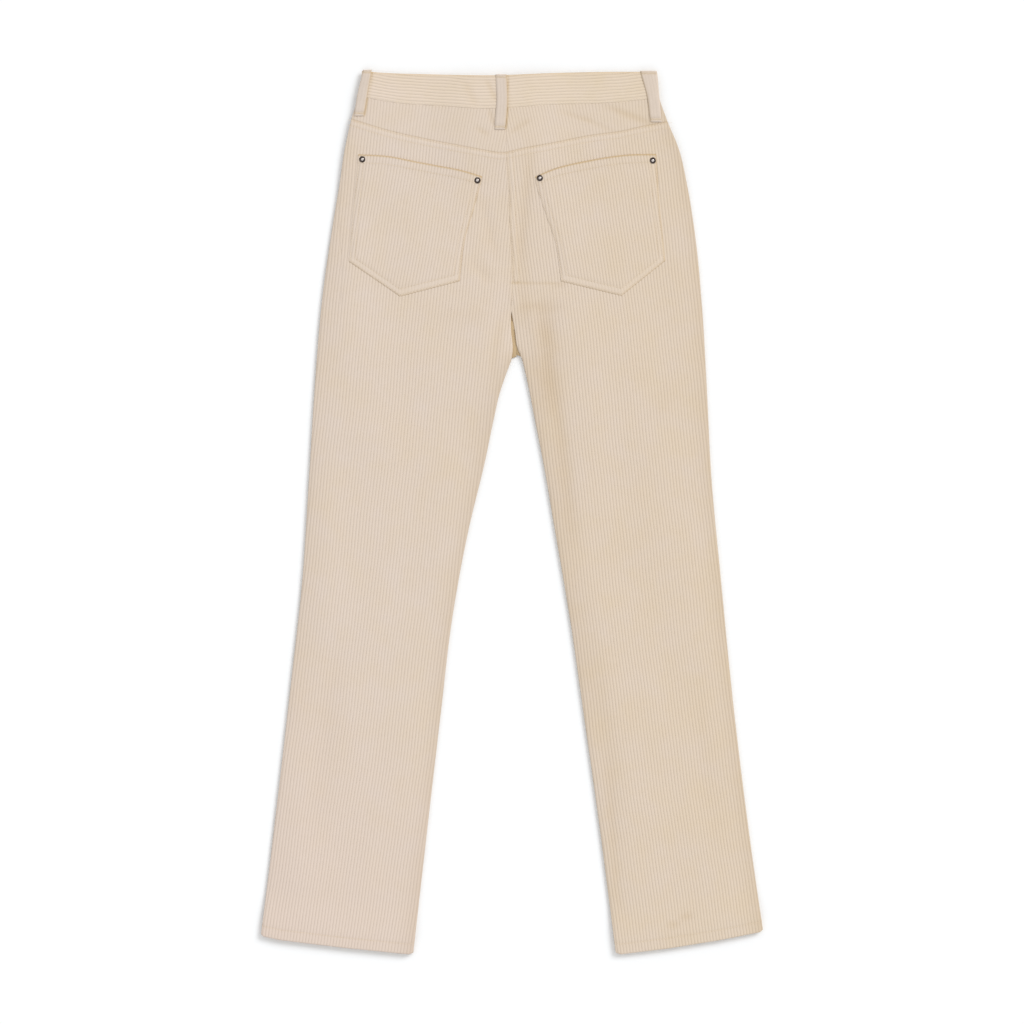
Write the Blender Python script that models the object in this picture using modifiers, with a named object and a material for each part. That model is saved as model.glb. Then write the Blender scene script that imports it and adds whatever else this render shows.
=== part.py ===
"""Wide-wale corduroy trousers of a five-pocket cut, laid flat with the back upwards.

+Y points to the waist, +X to the wearer's right leg, +Z up; the origin lies under the middle
of the garment, on the surface that the fronts rest on. Sizes below are in millimetres, and
every mesh is made in metres. Each piece of cloth is one closed wall: its outer face carries
the wales, the pile ribs of the corduroy, and its inner face is plain.
"""

from collections import namedtuple
from math import exp, hypot, pi

import bmesh
import bpy
from mathutils.geometry import delaunay_2d_cdt

MM = 0.001

# The cloth.
WALL = 1.0  # ground cloth, up to the bottom of the grooves
WALE_HEIGHT = 0.7
WALE_PITCH = 3.65
FRONT_WALL = 1.4  # the underside's wales are pressed flat
HEM_FOLD = 1.0  # the turned-up cloth inside a hem
HEM_DEPTH = 12.5
FELL_RISE = 0.8  # seam allowances folded under a double-sewn seam
FELL_WIDTH = 9.0
FELL_END = 258.0  # where the centre back's felled band runs out
STEP = 1.5  # the run over which a folded edge rises
GAP = 0.3  # between neighbouring pieces

# How the layers lie.
BACK_EDGE = FRONT_WALL + GAP + WALL  # outer face of the backs, along an outer seam
EDGE_ROLL = 1.2  # the cloth rounds down to its seams ...
ROLL_REACH = 7.0
SWELL = 1.8  # ... and swells gently further in
SWELL_REACH = 38.0
SLIT_TOP = 237.5  # the backs part below this height
CROTCH = 182.5
FRONT_LEVELS = (-260, -20, 110, 145, 174.5, 186.5, 283, 303, 325, 345, 365, 390, 415, 438)
LEVELS = (-260, -20, 145, CROTCH, 212, SLIT_TOP, 295, 345, 385)

# The waist: hardware, front band, back band and loops, one on another.
LOOP = 1.8
BAND = 2.4
BAND_RISE = 1.0  # the band stands proud of the yoke
FRONT_LIFT = LOOP + GAP
LIFT_FROM, LIFT_TO = 340.0, 438.0
YOKE_TOP = FRONT_LIFT + 2 * BAND + GAP - BAND_RISE

# The fly: the left front laps over the right one.
FLY_WIDTH = 36.0
FLY_BOTTOM = 305.0
FLY_RAISE = FRONT_WALL + GAP
LAP_RAMP = 12.0
LAP_RISE = 20.0

# Outer edge of each leg at a height.
Edges = namedtuple("Edges", "y left right")
OUTSEAM = (
    Edges(515, -175.5, 169.6),
    Edges(490, -178.7, 171.0),
    Edges(460, -187.8, 180.7),
    Edges(425, -195.5, 195.0),
    Edges(380, -202.4, 205.3),
    Edges(320, -212.2, 214.7),
    Edges(240, -223.1, 222.3),
    Edges(150, -230.5, 227.6),
    Edges(40, -237.5, 233.3),
    Edges(-80, -245.4, 244.5),
    Edges(-200, -258.6, 256.2),
    Edges(-330, -273.6, 271.4),
    Edges(-430, -285.6, 284.9),
    Edges(-520, -297.0, 298.2),
)

# Inner edge of each back: the centre back seam, the slit above the crotch, and the inseam.
INNER_EDGE = (
    Edges(512, -8.0, -8.0),
    Edges(445, -9.4, -9.4),
    Edges(412, -11.1, -11.1),
    Edges(377, -7.0, -7.0),
    Edges(347, -3.5, -3.5),
    Edges(277, 0.6, 0.6),
    Edges(SLIT_TOP, -1.0, -1.0),
    Edges(213, -0.6, 2.5),
    Edges(189, 0.9, 7.2),
    Edges(CROTCH, 0.2, 10.2),
    Edges(160, -7.5, 16.3),
    Edges(140, -14.2, 20.6),
    Edges(110, -21.1, 26.4),
    Edges(60, -31.5, 36.2),
    Edges(-20, -50.7, 50.0),
    Edges(-120, -69.3, 67.0),
    Edges(-240, -83.9, 84.4),
    Edges(-370, -99.0, 102.7),
    Edges(-520, -116.0, 121.9),
)

# The middle wale of each leg, along which the cloth is cut.
GRAIN = (
    Edges(459, -84.2, 84.2),
    Edges(388, -91.3, 92.4),
    Edges(248, -105.3, 108.8),
    Edges(0, -131.0, 135.7),
    Edges(-255, -161.5, 166.1),
    Edges(-520, -199.0, 203.0),
)

# Hems, waistband and yoke seam, from one side of the garment to the other.
Across = namedtuple("Across", "x y")
HEM = {
    "left": (
        Across(-296, -491.0),
        Across(-291, -496.5),
        Across(-271, -500.8),
        Across(-197, -509.8),
        Across(-121, -517.4),
        Across(-114, -515.0),
    ),
    "right": (
        Across(120, -515.0),
        Across(127, -517.4),
        Across(183, -510.5),
        Across(243, -500.8),
        Across(290, -491.5),
        Across(296, -486.0),
    ),
}
BAND_TOP = (
    Across(-176, 516.0),
    Across(-160, 514.4),
    Across(-96, 511.9),
    Across(-20, 510.7),
    Across(56, 513.6),
    Across(103, 514.6),
    Across(170, 514.9),
)
BAND_SEAM = (
    Across(-182, 486.9),
    Across(-148, 480.2),
    Across(-74, 474.3),
    Across(-37, 471.7),
    Across(-4, 472.7),
    Across(36, 476.0),
    Across(123, 479.3),
    Across(173, 484.4),
)
YOKE_SEAM = (
    Across(-190, 460.2),
    Across(-143, 445.8),
    Across(-84, 430.6),
    Across(-10, 420.5),
    Across(47, 432.3),
    Across(91, 441.1),
    Across(167, 452.8),
    Across(184, 456.3),
)
BAND_ROWS = (-168, -120, -90, -62, -53, -44, 16, 25, 34, 75, 120, 160)
YOKE_LEAN = 0.19  # the yoke's wales lean outwards this much for each millimetre down

# Soft folds of the worn cloth: from one end to the other, how wide, and how high or deep.
Fold = namedtuple("Fold", "x y end_x end_y width rise")
FOLDS = (
    Fold(56, 222, 71, -27, 13, -1.0),
    Fold(88, 215, 96, 10, 24, 0.6),
    Fold(21, 421, 9, 306, 7, -0.7),
    Fold(-35, 365, -19, 300, 8, -0.7),
    Fold(-49, 295, -26, 269, 8, -0.6),
    Fold(-99, 236, -26, 230, 10, 0.5),
    Fold(68, -30, 126, 14, 12, 0.5),
    Fold(173, 108, 191, 154, 12, 0.5),
    Fold(-201, 84, -154, 96, 12, 0.5),
    Fold(-150, -60, -172, -190, 20, 0.6),
    Fold(150, -140, 180, -300, 20, 0.6),
)

# Each back pocket: its sides at a height, and its mouth and point across.
POCKET_SIDES = {
    "left": (
        Edges(420, -180.0, -35.1),
        Edges(393, -181.3, -35.1),
        Edges(363, -183.0, -42.1),
        Edges(318, -187.5, -55.0),
        Edges(270, -190.5, -61.4),
    ),
    "right": (
        Edges(420, 29.0, 168.5),
        Edges(390, 27.0, 170.5),
        Edges(353, 37.5, 173.2),
        Edges(318, 49.5, 177.0),
        Edges(270, 57.3, 181.0),
    ),
}
POCKET_MOUTH = {
    "left": (Across(-180, 418.3), Across(-143, 416.0), Across(-84, 406.0), Across(-35, 392.5)),
    "right": (Across(27, 392.0), Across(47, 400.5), Across(91, 411.8), Across(135, 417.8), Across(169, 418.6)),
}
POCKET_POINT = {
    "left": (Across(-190, 294.0), Across(-131, 254.0), Across(-61, 270.5)),
    "right": (Across(57, 270.5), Across(128, 254.0), Across(180, 295.5)),
}
POCKET_HEM = 11.0

# Belt loops: middle line, width at the top and at the bottom.
Loop = namedtuple("Loop", "name top_x top_y seam_x foot_x foot_y top_width foot_width back")
LOOPS = (
    Loop("center", -13.4, 512.6, -11.7, -14.2, 447.0, 12.9, 13.0, True),
    Loop("side_left", -169.2, 517.2, -175.6, -179.2, 463.0, 10.4, 11.8, True),
    Loop("side_right", 159.9, 515.6, 165.2, 168.2, 457.0, 18.0, 13.6, True),
    Loop("front_left", -92.0, 513.5, -92.6, -93.5, 447.0, 12.5, 12.5, False),
    Loop("front_right", 92.0, 516.0, 92.6, 93.5, 449.0, 12.5, 12.5, False),
)

LOOP_SEAM_Y = 485.0

# Rivets on the pocket corners, and the jean button under the closed waistband.
Stud = namedtuple("Stud", "name x y")
RIVETS = (
    Stud("rivet_left_outer", -175.0, 412.6),
    Stud("rivet_left_inner", -41.0, 388.4),
    Stud("rivet_right_inner", 33.0, 390.6),
    Stud("rivet_right_outer", 164.2, 412.0),
)
RIVET_RADIUS = 4.4
RIVET_HEIGHT = 1.3
BUTTON = Stud("button", -19.0, 493.5)
BUTTON_RADIUS = 8.5
BUTTON_HEIGHT = 1.8
ROUND_STEPS = 16

CLOTH = (0.73, 0.61, 0.49)
LOOP_CLOTH = (0.74, 0.62, 0.51)
GUNMETAL = (0.22, 0.18, 0.17)


def mix(start, end, share):
    return start + (end - start) * share


def ease(value, start, end):
    """A smooth step: 0 before start, 1 after end."""
    share = min(max((value - start) / (end - start), 0.0), 1.0)
    return share * share * (3 - 2 * share)


def crown(distance, reach):
    """0 at an edge, rising to 1 at reach from it."""
    share = min(max(distance / reach, 0.0), 1.0)
    return share * (2 - share)


def line_of(table, column, by="y", straight=False):
    """A line through one column of a table, read by another column; past its ends it stays level."""
    rows = sorted(table, key=lambda row: getattr(row, by))
    at = [getattr(row, by) for row in rows]
    value = [getattr(row, column) for row in rows]
    slope = [(value[i + 1] - value[i]) / (at[i + 1] - at[i]) for i in range(len(rows) - 1)]
    lean = [slope[0]]
    for i in range(1, len(slope)):
        before = at[i] - at[i - 1]
        after = at[i + 1] - at[i]
        lean.append((slope[i - 1] * after + slope[i] * before) / (before + after))
    lean.append(slope[-1])

    def read(where):
        where = min(max(where, at[0]), at[-1])
        i = max(k for k in range(len(slope)) if at[k] <= where)
        width = at[i + 1] - at[i]
        share = (where - at[i]) / width
        chord = mix(value[i], value[i + 1], share)
        if straight:
            return chord
        bend = share * (1 - share) * width
        return chord + bend * ((lean[i] - slope[i]) * (1 - share) - (lean[i + 1] - slope[i]) * share)

    return read


outseam = {side: line_of(OUTSEAM, side) for side in ("left", "right")}
inner_edge = {side: line_of(INNER_EDGE, side) for side in ("left", "right")}
grain = {side: line_of(GRAIN, side) for side in ("left", "right")}
hem = {side: line_of(HEM[side], "y", by="x", straight=True) for side in ("left", "right")}
band_top = line_of(BAND_TOP, "y", by="x")
band_seam = line_of(BAND_SEAM, "y", by="x")
yoke_seam = line_of(YOKE_SEAM, "y", by="x")


def front_edge(side, y):
    """The centre front seam, and below the crotch the inseam."""
    centre = mix(5.2, 0.0, ease(y, CROTCH, 480))
    return mix(inner_edge[side](y), centre, ease(y, CROTCH - 8, CROTCH + 4))


def side_of(x):
    return "left" if x < 0 else "right"


def fold_height(x, y):
    total = 0.0
    for fold in FOLDS:
        run_x = fold.end_x - fold.x
        run_y = fold.end_y - fold.y
        length = hypot(run_x, run_y)
        along = ((x - fold.x) * run_x + (y - fold.y) * run_y) / length
        beside = ((x - fold.x) * run_y - (y - fold.y) * run_x) / length
        fade = ease(along, -0.15 * length, 0.25 * length) * (1 - ease(along, 0.75 * length, 1.15 * length))
        total += fold.rise * fade * exp(-((beside / fold.width) ** 2))
    return total


def lap_hump(x):
    """1 over the fly's extra layer at the waist."""
    return ease(x, -62, -44) * (1 - ease(x, 16, 34))


def back_height(x, y, side):
    """The grooves of the upper side, before any felled seam or hem is added."""
    outer = abs(x - outseam[side](y))
    inner = abs(x - inner_edge[side](y))
    seat = ease(y, CROTCH - 40, SLIT_TOP)
    roll = EDGE_ROLL * crown(outer, ROLL_REACH) * mix(crown(inner, ROLL_REACH), 1, seat)
    reach = crown(outer, SWELL_REACH) * mix(crown(inner, SWELL_REACH), 1, seat)
    hem_rise = 2 * HEM_FOLD * (1 - ease(y - hem[side](x), HEM_DEPTH, 5 * HEM_DEPTH))
    legs = BACK_EDGE + hem_rise + roll + SWELL * reach + fold_height(x, y) * reach
    waist = YOKE_TOP + (BAND + GAP) * lap_hump(x) - EDGE_ROLL * (1 - crown(outer, ROLL_REACH))
    return mix(legs, waist, ease(y, LIFT_FROM, LIFT_TO))


def hem_fold(x, y, side):
    """The cloth turned up inside a hem."""
    return HEM_FOLD * (1 - ease(y - hem[side](x), HEM_DEPTH, HEM_DEPTH + STEP))


def band_height(x, y):
    return back_height(x, y, side_of(x)) + BAND_RISE


def front_under(y):
    """The face that rests: flat, and lifted at the waist by the loops and the button under it."""
    return FRONT_LIFT * ease(y, LIFT_FROM, LIFT_TO)


def fly_raise(x, y):
    """How far the right front rides up on the left one."""
    beyond = x - front_edge("right", y)
    return FLY_RAISE * ease(y, FLY_BOTTOM - LAP_RISE, FLY_BOTTOM) * (1 - ease(beyond, 1, LAP_RAMP))


Piece = namedtuple("Piece", "low high start end rows inner_rows fills grain pitch rib outer inner upright")
SNAP = 0.9  # a wale that comes this near an edge ends on it


def lattice(piece):
    """Rows of points from one end of a piece to the other, with a column on each crest and groove."""

    def place(column, share, shift):
        across = mix(piece.low(0), piece.high(0), 0.5)
        for _ in range(12):
            along = mix(piece.start(across), piece.end(across), share) + shift
            low = piece.low(along)
            high = piece.high(along)
            free = piece.grain(along) + column * piece.pitch / 2
            on_edge = free < low + SNAP or free > high - SNAP
            across = free
            if free < low + SNAP:
                across = low
            elif free > high - SNAP:
                across = high
        along = mix(piece.start(across), piece.end(across), share) + shift
        return across, along, on_edge

    corners = [end(side(0)) for end in (piece.start, piece.end) for side in (piece.low, piece.high)]
    spots = [mix(min(corners), max(corners), i / 30) for i in range(-2, 33)]
    first = min((piece.low(spot) - piece.grain(spot)) * 2 / piece.pitch for spot in spots)
    last = max((piece.high(spot) - piece.grain(spot)) * 2 / piece.pitch for spot in spots)
    columns = range(int(first) - 2, int(last) + 3)
    return [[(*place(column, *row), column) for column in columns] for row in piece.rows]


def outer_face(mesh, piece):
    """The ribbed face, as one open sheet in the mesh."""
    found = {}
    rows = []
    for row in lattice(piece):
        line = []
        for across, along, on_edge, column in row:
            x, y = (across, along) if piece.upright else (along, across)
            key = (round(x, 2), round(y, 2))
            if key not in found:
                rib = 0 if on_edge or column % 2 else piece.rib
                found[key] = mesh.verts.new((x, y, piece.outer(x, y) + rib))
            line.append(found[key])
        rows.append(line)
    for line, above in zip(rows, rows[1:]):
        for i in range(len(line) - 1):
            corners = []
            for vert in (line[i], line[i + 1], above[i + 1], above[i]):
                if vert not in corners:
                    corners.append(vert)
            if len(corners) > 2 and mesh.faces.get(corners) is None:
                mesh.faces.new(corners)


def rim_of(mesh):
    """The open sheet's boundary, in order."""
    edges = [edge for edge in mesh.edges if edge.is_boundary]
    beside = {}
    for edge in edges:
        for vert in edge.verts:
            beside.setdefault(vert, []).append(edge.other_vert(vert))
    start = edges[0].verts[0]
    rim = [start]
    before, here = None, start
    while True:
        step = [vert for vert in beside[here] if vert is not before][0]
        before, here = here, step
        if here is start:
            return rim
        rim.append(here)


def close_with_lining(mesh, piece):
    """Adds the plain inner face and the cut edges between it and the outer face."""
    rim = rim_of(mesh)
    flat = [(vert.co.x, vert.co.y) for vert in rim]
    for share, shift in piece.inner_rows:
        for part in piece.fills:
            along = 0.0
            across = 0.0
            for _ in range(12):
                along = mix(piece.start(across), piece.end(across), share) + shift
                across = mix(piece.low(along), piece.high(along), part)
            flat.append((across, along) if piece.upright else (along, across))
    loop = list(range(len(rim)))
    points, _, faces, *_ = delaunay_2d_cdt(flat, [], [loop], 1, 1e-4)
    assert len(points) == len(flat), "an inner point fell on the rim"
    lining = [mesh.verts.new((p[0], p[1], piece.inner(p[0], p[1]))) for p in points]
    for face in faces:
        mesh.faces.new([lining[i] for i in face])
    for i in loop:
        after = (i + 1) % len(loop)
        mesh.faces.new((rim[i], rim[after], lining[after], lining[i]))


def finished(name, mesh, colour, roughness, metallic=0.0):
    """Links the piece, with its own material."""
    data = bpy.data.meshes.new(name)
    mesh.to_mesh(data)
    mesh.free()
    piece = bpy.data.objects.new(name, data)
    parts.objects.link(piece)
    painted(piece, colour, roughness, metallic)
    return piece


def painted(piece, colour, roughness, metallic):
    material = bpy.data.materials.new(piece.name)
    material.use_nodes = True
    shader = material.node_tree.nodes["Principled BSDF"]
    shader.inputs["Base Color"].default_value = (*colour, 1)
    shader.inputs["Roughness"].default_value = roughness
    shader.inputs["Metallic"].default_value = metallic
    piece.data.materials.append(material)


def cloth(name, piece, colour=CLOTH):
    mesh = bmesh.new()
    outer_face(mesh, piece)
    close_with_lining(mesh, piece)
    bmesh.ops.recalc_face_normals(mesh, faces=mesh.faces)
    bmesh.ops.scale(mesh, vec=(MM, MM, MM), verts=mesh.verts)
    return finished(name, mesh, colour, 0.95)


def between(side, inner):
    """The two side edges of a panel, low and high, drawn in at the middle seam."""
    if side == "left":
        return outseam[side], (lambda y: inner(y) - HALF_GAP)
    return (lambda y: inner(y) + HALF_GAP), outseam[side]


SPREAD = (0.025, 0.07, 0.15, 0.3, 0.5, 0.7, 0.85, 0.93, 0.975)
HALF_GAP = GAP / 2
CENTRE_LOW = -515.0
HEM_FOLD_ROWS = [(0, HEM_DEPTH), (0, HEM_DEPTH + STEP)]


def rows_at(levels, top):
    """Rows that pass the centre of the garment at each level, in a leg that ends at top there."""
    return [((level - CENTRE_LOW) / (top - CENTRE_LOW), 0) for level in levels]


def back_panel(side):
    low, high = between(side, inner_edge[side])
    levels = rows_at(LEVELS, yoke_seam(0))

    def top(x):
        return yoke_seam(x) - HALF_GAP

    def felled(x, y):
        yoke_band = 1 - ease(top(x) - y, FELL_WIDTH, FELL_WIDTH + STEP)
        beside = x - inner_edge["right"](y)
        runs_out = ease(y, FELL_END, FELL_END + FELL_WIDTH)
        centre_band = (1 - ease(beside, FELL_WIDTH, FELL_WIDTH + STEP)) * runs_out
        return FELL_RISE * max(yoke_band, centre_band if side == "right" else 0)

    def inner(x, y):
        return back_height(x, y, side) - WALL - hem_fold(x, y, side)

    return Piece(
        low=low,
        high=high,
        start=hem[side],
        end=top,
        rows=[(0, 0), (0, HEM_DEPTH)] + levels + [(1, -FELL_WIDTH - STEP), (1, -FELL_WIDTH), (1, 0)],
        inner_rows=HEM_FOLD_ROWS + levels,
        fills=SPREAD,
        grain=grain[side],
        pitch=WALE_PITCH,
        rib=WALE_HEIGHT,
        outer=lambda x, y: back_height(x, y, side) + felled(x, y),
        inner=inner,
        upright=True,
    )


def front_panel(side):
    """Plain and flat below, because it is the side that rests."""

    def edge(y):
        lap = FLY_WIDTH * ease(y, FLY_BOTTOM, FLY_BOTTOM + 40) if side == "right" else 0
        return front_edge(side, y) - lap

    low, high = between(side, edge)

    def under(x, y):
        return front_under(y) + (fly_raise(x, y) if side == "right" else 0)

    def over(x, y):
        return under(x, y) + FRONT_WALL + hem_fold(x, y, side)

    levels = rows_at(FRONT_LEVELS, band_seam(0))
    return Piece(
        low=low,
        high=high,
        start=hem[side],
        end=lambda x: band_seam(x) - HALF_GAP,
        rows=[(0, 0)] + levels + [(1, 0)],
        inner_rows=HEM_FOLD_ROWS + levels,
        fills=(0.05, 0.2, 0.5, 0.8, 0.95),
        grain=lambda y: front_edge(side, y),
        pitch=2 * LAP_RAMP,
        rib=0,
        outer=under,
        inner=over,
        upright=True,
    )


def yoke(side):
    low, high = between(side, inner_edge[side])
    lean = YOKE_LEAN if side == "left" else -YOKE_LEAN
    foot = YOKE_SEAM[2].y
    return Piece(
        low=low,
        high=high,
        start=lambda x: yoke_seam(x) + HALF_GAP,
        end=lambda x: band_seam(x) - HALF_GAP,
        rows=[(0, 0), (0.5, 0), (1, 0)],
        inner_rows=[(0.5, 0)],
        fills=SPREAD,
        grain=lambda y: grain[side](foot) + (y - foot) * lean,
        pitch=WALE_PITCH,
        rib=WALE_HEIGHT,
        outer=lambda x, y: back_height(x, y, side),
        inner=lambda x, y: back_height(x, y, side) - WALL,
        upright=True,
    )


def pocket(side):
    """A pointed patch, its mouth hemmed, lying on the wales of the seat."""
    mouth = line_of(POCKET_MOUTH[side], "y", by="x")
    point = line_of(POCKET_POINT[side], "y", by="x", straight=True)
    patch = [(0, 0), (0.25, 0), (0.5, 0), (0.7, 0)]

    def lies_on(x, y):
        return back_height(x, y, side) + WALE_HEIGHT + GAP

    def hemmed(x, y):
        return FELL_RISE * (1 - ease(mouth(x) - y, POCKET_HEM, POCKET_HEM + STEP))

    return Piece(
        low=line_of(POCKET_SIDES[side], "left"),
        high=line_of(POCKET_SIDES[side], "right"),
        start=point,
        end=mouth,
        rows=patch + [(1, -POCKET_HEM - STEP), (1, -POCKET_HEM), (1, 0)],
        inner_rows=patch[1:] + [(1, -POCKET_HEM)],
        fills=SPREAD,
        grain=grain[side],
        pitch=WALE_PITCH,
        rib=WALE_HEIGHT,
        outer=lambda x, y: lies_on(x, y) + WALL + hemmed(x, y),
        inner=lies_on,
        upright=True,
    )


def back_band():
    """The wales run round the waist, so this piece's columns lie across the garment."""
    start = outseam["left"](LOOP_SEAM_Y)
    end = outseam["right"](LOOP_SEAM_Y)
    rows = [((x - start) / (end - start), 0) for x in BAND_ROWS]
    flat_under = YOKE_TOP + BAND_RISE - BAND
    return Piece(
        low=lambda x: band_seam(x) + HALF_GAP,
        high=band_top,
        start=outseam["left"],
        end=outseam["right"],
        rows=[(0, 0)] + rows + [(1, 0)],
        inner_rows=rows,
        fills=(0.3, 0.7),
        grain=lambda x: band_seam(x) + WALE_PITCH / 2,
        pitch=WALE_PITCH,
        rib=WALE_HEIGHT,
        outer=band_height,
        inner=lambda x, y: flat_under + (BAND + GAP) * lap_hump(x),
        upright=False,
    )


def front_band(side):
    """Half of the front waistband; the right half rides up over the left one at the fly."""
    low, high = outseam["left"], (lambda y: front_edge("left", y) - HALF_GAP)
    rows = [(share / 10, 0) for share in (2, 4, 6, 8)]
    if side == "right":
        low, high = (lambda y: front_edge("right", y) - FLY_WIDTH), outseam["right"]
        rows = [(0, FLY_WIDTH), (0, FLY_WIDTH + LAP_RAMP)] + [(share / 10, 0) for share in (4, 5, 6, 7, 8, 9)]

    def under(x, y):
        step = 0 if side == "left" else (BAND + GAP) * (1 - ease(x - front_edge("right", y), 1, LAP_RAMP))
        return FRONT_LIFT + step

    return Piece(
        low=lambda x: band_seam(x) + HALF_GAP,
        high=lambda x: band_top(x) - HALF_GAP,
        start=low,
        end=high,
        rows=[(0, 0)] + rows + [(1, 0)],
        inner_rows=rows,
        fills=(0.5,),
        grain=band_seam,
        pitch=24.0,
        rib=0,
        outer=under,
        inner=lambda x, y: under(x, y) + BAND,
        upright=False,
    )


def belt_loop(loop):
    """A doubled strip over the waistband, on the upper side, or under it at the front."""
    bends = (
        Across(loop.top_x, loop.top_y),
        Across(loop.seam_x, LOOP_SEAM_Y),
        Across(loop.foot_x, loop.foot_y),
    )
    middle = line_of(bends, "x")

    def half(y):
        return mix(loop.foot_width, loop.top_width, ease(y, loop.foot_y, loop.top_y) ** 3) / 2

    def lies_on(x, y):
        if not loop.back:
            return LOOP
        seam = band_seam(x)
        on_band = ease(y, seam - 9, seam - 1) * BAND_RISE
        return back_height(x, y, side_of(x)) + on_band + WALE_HEIGHT + GAP

    rows = [(0.12, 0), (0.25, 0), (0.45, 0), (0.75, 0), (0.92, 0)] if loop.back else [(0.5, 0)]

    def face(x, y):
        return lies_on(x, y) + LOOP - WALE_HEIGHT if loop.back else 0

    return Piece(
        low=lambda y: middle(y) - half(y),
        high=lambda y: middle(y) + half(y),
        start=lambda x: loop.foot_y,
        end=lambda x: loop.top_y,
        rows=[(0, 0)] + rows + [(1, 0)],
        inner_rows=rows,
        fills=(0.5,),
        grain=middle,
        pitch=WALE_PITCH,
        rib=WALE_HEIGHT if loop.back else 0,
        outer=face,
        inner=lies_on,
        upright=True,
    )


def turned(name, profile, x, y, z, up, colour, metallic):
    """A round piece: its profile, from the outside in along its upper side, spun about Z."""
    mesh = bmesh.new()
    verts = [mesh.verts.new((radius * MM, 0, height * MM)) for radius, height in profile]
    for start, end in zip(verts, verts[1:]):
        mesh.edges.new((start, end))
    piece = finished(name, mesh, colour, 0.35, metallic)
    spin = piece.modifiers.new("Spin", "SCREW")
    spin.steps = ROUND_STEPS
    spin.render_steps = ROUND_STEPS
    spin.use_merge_vertices = True
    spin.merge_threshold = 0.00001
    piece.location = (x * MM, y * MM, z * MM)
    piece.rotation_euler = (0 if up else pi, 0, 0)
    return piece


for old in list(bpy.data.objects):
    bpy.data.objects.remove(old)
parts = bpy.data.collections.new("corduroy_trousers")
bpy.context.scene.collection.children.link(parts)

for side in ("left", "right"):
    cloth("front_" + side, front_panel(side))
    cloth("back_" + side, back_panel(side))
    cloth("yoke_" + side, yoke(side))
    cloth("pocket_" + side, pocket(side))
    cloth("waistband_front_" + side, front_band(side))
cloth("waistband_back", back_band())
for loop in LOOPS:
    cloth("belt_loop_" + loop.name, belt_loop(loop), LOOP_CLOTH)

RIVET_PROFILE = (
    (0, RIVET_HEIGHT),
    (1.6, 1.1),
    (2.2, 0.6),
    (3.4, 1.0),
    (RIVET_RADIUS, 0.5),
    (RIVET_RADIUS, 0),
    (0, 0),
)
for rivet in RIVETS:
    side = side_of(rivet.x)
    seat_z = back_height(rivet.x, rivet.y, side) + 2 * WALE_HEIGHT + 2 * GAP + WALL + FELL_RISE
    turned(rivet.name, RIVET_PROFILE, rivet.x, rivet.y, seat_z, True, GUNMETAL, 0.9)

BUTTON_PROFILE = (
    (0, 1.2),
    (4.5, 1.1),
    (6.4, BUTTON_HEIGHT),
    (7.6, 1.7),
    (BUTTON_RADIUS, 1.0),
    (BUTTON_RADIUS, 0.3),
    (8.0, 0),
    (0, 0),
)
turned(BUTTON.name, BUTTON_PROFILE, BUTTON.x, BUTTON.y, BUTTON_HEIGHT, False, GUNMETAL, 0.9)
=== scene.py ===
"""Looks of a pair of cream corduroy trousers, laid flat with the back upwards.

+Y points to the waist and +Z up. Lengths below are in millimetres, and meshes are made in metres.
"""

from collections import namedtuple

import bpy
import numpy as np
from mathutils.geometry import delaunay_2d_cdt
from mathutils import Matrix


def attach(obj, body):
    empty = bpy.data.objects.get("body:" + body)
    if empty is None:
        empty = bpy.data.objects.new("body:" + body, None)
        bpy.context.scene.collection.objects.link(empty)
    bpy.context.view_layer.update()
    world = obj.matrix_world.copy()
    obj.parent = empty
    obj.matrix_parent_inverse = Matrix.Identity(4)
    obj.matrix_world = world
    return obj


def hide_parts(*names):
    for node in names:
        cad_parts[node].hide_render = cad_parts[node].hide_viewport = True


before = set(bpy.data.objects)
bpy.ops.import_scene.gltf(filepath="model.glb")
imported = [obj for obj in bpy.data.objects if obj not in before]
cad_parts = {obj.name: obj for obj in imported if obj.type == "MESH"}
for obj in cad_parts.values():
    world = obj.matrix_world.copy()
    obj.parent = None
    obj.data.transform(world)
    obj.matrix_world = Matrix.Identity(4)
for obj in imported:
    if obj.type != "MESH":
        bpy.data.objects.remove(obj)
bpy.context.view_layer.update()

# ---- Front leg panels ---------------------------------------------------------------------
# The two fronts are single layers of cotton corduroy with seven wales to the inch. They lie
# face down and flat, sewn to the backs along the side seams and to each other below the fly;
# at the fly the left one laps over the right one.

MM = 0.001
WALE_PITCH = 3.65
WALE_HEIGHT = 0.5
FRONT_WALL = 1.4
GAP = 0.3
SEAM = 0.02  # what stays open between two sewn pieces
HEM_DEPTH = 12.0
HEM_RAMP = 1.5
HEM_FOLD = 1.0
FRONT_LIFT = 2.1  # belt loops and button hold the waist this far off the table
LIFT_FROM, LIFT_TO = 340.0, 438.0
FLY_WIDTH = 36.0
FLY_BOTTOM = 305.0
FLY_RAISE = FRONT_WALL + GAP
FLY_FADE = 40.0  # over this length the lap narrows to nothing
FLY_ROWS = (32.0, 38.0)  # how far from the opening the curved rows run that hold the fly's facing
FLY_CURVE = 45.0
LAP_RAMP = 12.0
LAP_RISE = 20.0
SLIT_TOP = 237.5
CROTCH = 182.5
CROTCH_TURN = {"left": (179.6, 182.0), "right": (182.4, 183.8)}  # each inseam turns square here
FLY_SHIFT, FLY_STRAIGHT = 5.2, 480  # the centre front seam starts aside of the middle and ends in it
SIDES = ("left", "right")

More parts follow.
